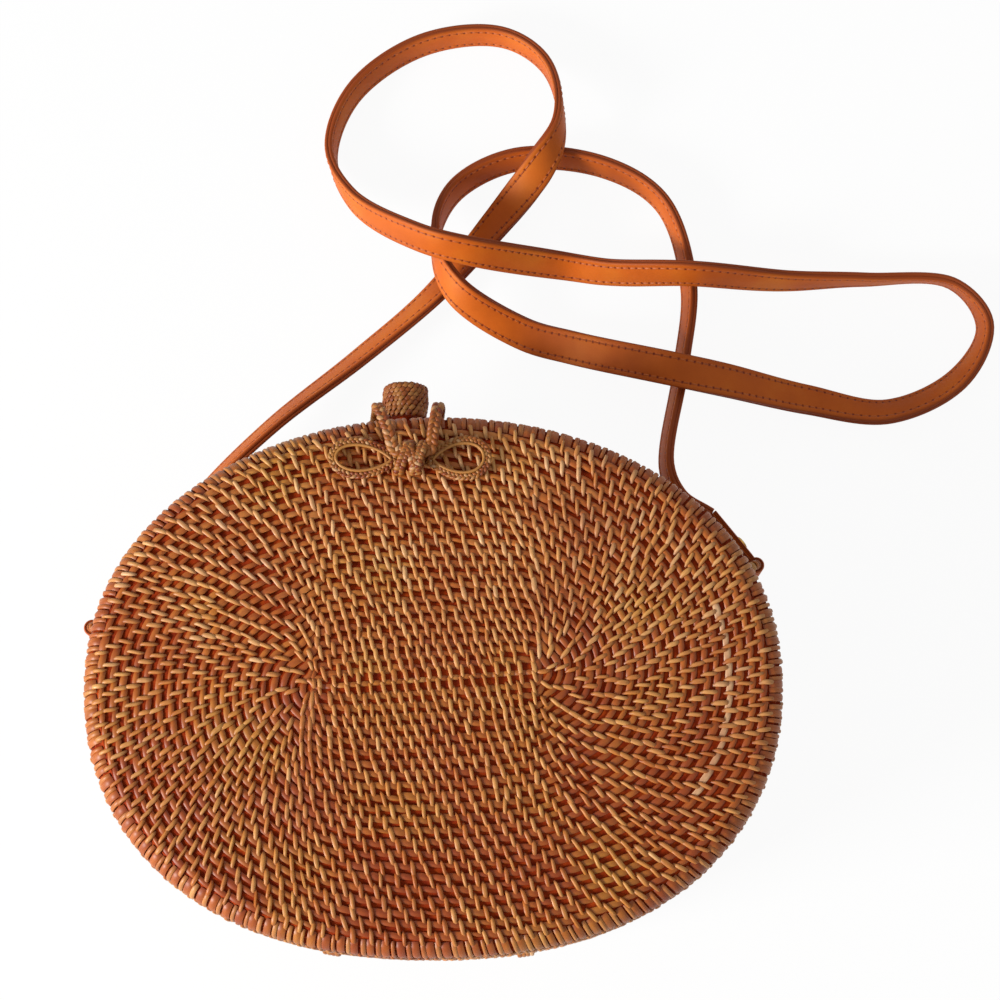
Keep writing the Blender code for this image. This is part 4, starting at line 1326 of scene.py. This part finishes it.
def knob_stitches():
    """Short canes, each slanting across its row, dense enough to hide the plug."""
    total = KNOB_SIDE_ROWS + KNOB_END_ROWS
    rows = stitch_turns(knob_skin, total - 1, knob_pitch)
    row = np.concatenate([np.full(len(turns), i) for i, turns in enumerate(rows)])
    turn = np.concatenate(rows)
    t = STATIONS
    _, radius = knob_round(row + 0.5)
    drift = 1.0 * MM / np.maximum(radius, 1.2 * MM)
    point, outward = knob_skin(row[:, None] + 0.5 + 0.62 * t, turn[:, None] + t * drift[:, None])
    height = 0.15 * MM + random.normal(0, 0.07, (len(turn), 1)) * MM - 0.75 * MM * np.abs(t) ** 3
    centres = point + (height - 0.2 * MM)[..., None] * outward
    tone = 0.15 + 0.7 * random.random((len(turn), 1))
    look = (braid_rattan, "back_half", "rattan_braid")
    # Painted shade: a little on every knob stitch, and more at its tucked ends.
    tuck = 0.15 + 0.75 * np.abs(t) ** 3
    return canes("knob_stitches", centres, outward, *KNOB_CANE_HALVES, SPLIT_CANE, look, tone, tuck)


def knob_plug():
    """The solid under the stitches, a turned profile closed at both ends."""
    rows = np.array([*range(11), 10.99])
    point, outward = knob_skin(rows[:, None], turns_round(40)[None, :])
    points = point - PLUG_DEPTH * outward
    look = (reed, "back_half", "rattan_braid")
    make_piece("knob_plug", points, tube_faces(*points.shape[:2]), *look)


stitched_knob = knob_stitches()
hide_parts("closure_knob")
knob_plug()
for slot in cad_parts["knob_stem"].material_slots:
    slot.material = reed
print("knob:", len(stitched_knob.data.polygons), "faces of stitches")

# %% [markdown]
# ## Braided cord
#
# The closure loop and the bow are three-strand braids. Seen along the cord, each strand of a flat braid
# draws a lying figure eight: its sideways place goes with sin(a) and its height with sin(2a). Three
# strands a third of a turn apart never meet. The braids get a little painted shade all over, through the
# tuck shading.


# %% Braid
# Painted shade laid over every braid strand through the tuck shading.
BRAID_SHADE = 0.3


def braid(name, path, outward, crossings, half_width, half_height, strand, look, per_crossing=14):
    """Three closed strands on figure eights about a closed path."""
    path, outward = looped(path), looped(outward)
    run = run_of(path)
    centre, side, out, at = frames_along(path, outward, run, crossings * per_crossing, True)
    angle = 2 * math.pi * (crossings * at / run[-1] + np.arange(3)[:, None] / 3)
    sway = half_width * np.sin(angle)[..., None] * side
    rise = half_height * np.sin(2 * angle)[..., None] * out
    centres = centre + sway + rise
    outward = np.broadcast_to(out, centres.shape)
    knuckles = np.repeat(random.random((3, crossings)), per_crossing, axis=1)
    return canes(
        name, centres, outward, strand, strand * 0.8, ROUND_CANE, look, knuckles, BRAID_SHADE, closed=True
    )


LOOP_CORNERS = [
    (6.0, -6.4, 72.0, 81.0, 2.2),
    (7.2, -6.8, 79.0, 83.0, 3.0),
    (9.8, -8.0, 88.0, 79.5, 4.5),
    (10.2, -8.4, 90.6, 64.0, 4.5),
]
LOOP_HALF_AT_KNOB = 10.8
LOOP_CROSSINGS = 36
LOOP_BRAID = (1.15 * MM, 0.5 * MM, 0.92 * MM)


def closure_loop_path():
    """Bar, shoulder, bend and hang on both sides, then past the knob to a round foot."""
    corners = []
    for side in (-1, 1):
        leg = [((middle + side * half, y, z), reach) for half, middle, y, z, reach in LOOP_CORNERS]
        knob_x = KNOB[0] / MM + side * LOOP_HALF_AT_KNOB
        leg.append(((knob_x, 90.0, 31.0), 4.5))
        leg.append(((knob_x, 90.0, 8.7), LOOP_HALF_AT_KNOB * 0.98))
        corners += leg if side < 0 else leg[::-1]
    return even_path(rounded_path(corners, closed=True) * MM, 360, closed=True)


loop_path = closure_loop_path()
fall = np.clip((DEPTH + 6 * MM - loop_path[:, 2:]) / (12 * MM), 0, 1)
loop_facing = unit(fall * np.array([0, 1, 0]) + (1 - fall) * np.array([0, 0, 1]))
loop_look = (braid_rattan, "closure_loop", "rattan_braid")
closure = braid("closure_braid", loop_path, loop_facing, LOOP_CROSSINGS, *LOOP_BRAID, loop_look)
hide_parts("closure_loop")
print(f"closure loop, {run_of(loop_path)[-1] / MM:.0f} mm round")

# %% [markdown]
# ## The bow
#
# A bow of the same braid sits where the loop leaves the front panel. Its two loops are teardrops that lie
# flat: along the loop's length the half width is sin(a) sin(a/2)^0.6. A thin smooth cord lies inside each,
# and the knot is the braid's own tail wound three times over the middle.

# %% Bow
KNOT = np.array([-6.6, 70.2, 79.0]) * MM
KNOT_HALF = np.array([4.2, 6.2, 4.4]) * MM
KNOT_BRAID = (1.0 * MM, 0.45 * MM, 0.84 * MM)
BOW_BRAID = (0.66 * MM, 0.38 * MM, 0.56 * MM)
BOW_CROSSING = 4.4 * MM
BOW_LOOPS = {"left": (-1, 19.6, 11.0, 176.0), "right": (1, 18.0, 12.2, 3.0)}


def teardrop(length, width, start, turn, tip, lift, count=160):
    """A flat closed loop whose narrow end is at the tip and which is turned about it."""
    angle = 2 * math.pi * (np.arange(count) + 0.5) / count
    x = start + length / 2 * (1 - np.cos(angle))
    y = width / 2 * 1.13 * np.sin(angle) * np.sin(angle / 2) ** 0.6
    turn = math.radians(turn)
    flat_x, flat_y = x * math.cos(turn) - y * math.sin(turn), x * math.sin(turn) + y * math.cos(turn)
    path = np.stack([tip[0] + flat_x * MM, tip[1] + flat_y * MM, np.full(count, lift)], axis=-1)
    return even_path(path, count, closed=True)


def bow_loop(side):
    sign, length, width, turn = BOW_LOOPS[side]
    tip = (KNOT[0] + sign * (KNOT_HALF[0] + 1.9 * MM), KNOT[1])
    look = (braid_rattan, "front_half", "rattan_braid")
    path = teardrop(length + 1.0, width + 1.2, -0.6, turn, tip, DEPTH + 1.8 * MM)
    up = np.broadcast_to((0.0, 0.0, 1.0), path.shape)
    crossings = round(run_of(path)[-1] / BOW_CROSSING)
    loop = braid(f"bow_braid_{side}", path, up, crossings, *BOW_BRAID, look)
    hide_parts(f"bow_loop_{side}")
    inner = teardrop(length - 1.6, width - 2.0, 0.6, turn, tip, DEPTH + 2.2 * MM, 96)
    # The 0.2 below is painted shade over the whole inner cord.
    smooth = canes(
        f"bow_inner_cord_{side}", inner[None], up[None, :96], 0.52 * MM, 0.52 * MM, ROUND_CANE, look,
        np.array([[0.75]]), 0.2, closed=True,
    )
    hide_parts(f"bow_cord_{side}")


def knot_turns():
    """Three braided rings round the knot, side by side and tipped over each other."""
    angle = np.linspace(0, 2 * math.pi, 120, endpoint=False)
    look = (braid_rattan, "front_half", "rattan_braid")
    pieces = []
    for i, (shift, tip) in enumerate(((-2.3, 22.0), (0.1, -17.0), (2.4, 19.0))):
        x = KNOT[0] + shift * MM + math.tan(math.radians(tip)) * KNOT_HALF[1] * 0.8 * np.cos(angle)
        y = KNOT[1] + (KNOT_HALF[1] - 1.3 * MM) * np.cos(angle)
        z = KNOT[2] + 0.6 * MM + (KNOT_HALF[2] - 1.2 * MM) * np.sin(angle)
        path = np.stack([x, y, z], axis=-1)
        outward = unit(np.stack([np.zeros(120), np.cos(angle), np.sin(angle)], axis=-1))
        pieces.append(braid(f"knot_turn_{i + 1}", path, outward, 8, *KNOT_BRAID, look))
    return pieces


def knot_core():
    """A pebble that fills the rings: a sphere stretched to the knot's half sizes."""
    turns, lifts = turns_round(24), np.linspace(-1.45, 1.45, 12)
    ring = np.cos(lifts)[:, None, None] * np.stack([np.cos(turns), np.sin(turns), 0 * turns], axis=-1)
    ball = ring + np.sin(lifts)[:, None, None] * np.array([0, 0, 1.0])
    # The pebble's dark reed colour is partly painted shade in the gaps between the knot's rings.
    points = KNOT + (0, 0, 0.4 * MM) + ball * (KNOT_HALF - 1.3 * MM)
    look = (reed, "front_half", "rattan_braid")
    make_piece("knot_core", points, tube_faces(*points.shape[:2]), *look)


for side in BOW_LOOPS:
    bow_loop(side)
knot = knot_turns()
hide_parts("bow_knot")
knot_core()
print("bow tied with", len(knot), "turns")

# %% [markdown]
# ## The lining
#
# Inside, each half is lined with unbleached cotton, cut to the bowl, glued at the wall and turned under at
# the rim. The photograph doesn't show it. It follows the skin four millimetres in, with small puckers
# where flat cloth has to go round the edge.

# %% Cotton and linings
THREAD_PITCH = 0.7 * MM
CLOTH_THICKNESS = 0.4 * MM
LINING_DEPTH = 4.15 * MM
LINING_TURNS = 240
PUCKER = 0.18 * MM
UP_THE_WALL = 26 * MM


def cotton_cloth():
    """Plain weave, drawn at 0.7 mm a thread, coarser than real, so that it shows."""
    material, tree, shader = new_material("unbleached cotton")
    solid = add_node(tree, "TexCoord").outputs["Object"]
    scale = 2 * math.pi / THREAD_PITCH / 20
    warp = add_node(tree, "TexWave", {"Vector": solid, "Scale": scale}, bands_direction="X").outputs["Fac"]
    weft = add_node(tree, "TexWave", {"Vector": solid, "Scale": scale}, bands_direction="Y").outputs["Fac"]
    cloth = add_node(tree, "Math", {0: warp, 1: weft}, operation="MULTIPLY").outputs[0]
    slubs = add_node(tree, "TexNoise", {"Vector": solid, "Scale": 160.0, "Detail": 4.0}).outputs["Fac"]
    colour = add_node(tree, "ValToRGB", {0: slubs}, stops=[(0.3, "#B9A27E"), (0.7, "#D8C6A4")]).outputs[0]
    between = add_node(tree, "MapRange", {0: cloth, 3: 0.0, 4: 0.35}).outputs[0]
    colour = add_node(tree, "Mix", {0: between, 6: colour, 7: linear("#8E7858")}, data_type="RGBA").outputs[2]
    bump = add_node(tree, "Bump", {"Height": cloth, "Strength": 0.4, "Distance": 0.15 * MM}).outputs[0]
    soft = {"Roughness": 0.9, "Sheen Weight": 0.25}
    feed(tree, shader, {"Base Color": colour, "Normal": bump, **soft})
    return material


def lining(name, skin, mirrored, body):
    """The skin four millimetres in; puckers are a cosine round the wall, strongest at the edge."""
    turns = turns_round(LINING_TURNS)
    rows = np.concatenate([[0, 6, 12, 17], np.linspace(PANEL_ROWS - 2, PANEL_ROWS + SIDE_ROWS - 0.3, 26)])
    point, outward = skin(rows[:, None], turns[None, :])
    edge = np.exp(-(((rows - PANEL_ROWS - 2.5) / 2.5) ** 2))[:, None]
    pucker = edge * PUCKER * (np.cos(47 * turns) + 0.6 * np.cos(29 * turns + 1))
    points = point - (LINING_DEPTH + pucker)[..., None] * outward
    faces = tube_faces(len(rows), LINING_TURNS, flipped=mirrored, capped=False)
    piece = make_piece(name, points, faces, cotton, body, "cotton_lining")
    merge_doubles(piece)
    cloth = piece.modifiers.new("cloth thickness", "SOLIDIFY")
    cloth.thickness = CLOTH_THICKNESS
    cloth.offset = 0.0
    return piece


cotton = cotton_cloth()
for half, skin in (("front", front_skin), ("back", back_skin)):
    cloth = lining(f"{half}_cotton", skin, half == "back", f"{half}_half")
    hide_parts(f"{half}_lining")
    area = sum(face.area for face in cloth.data.polygons)
    flat = (LENGTH + 2 * UP_THE_WALL, HEIGHT + 2 * UP_THE_WALL)
    area = min(area, flat[0] * flat[1])
    print(cloth.name, f"{area * 1e4:.0f} square cm")
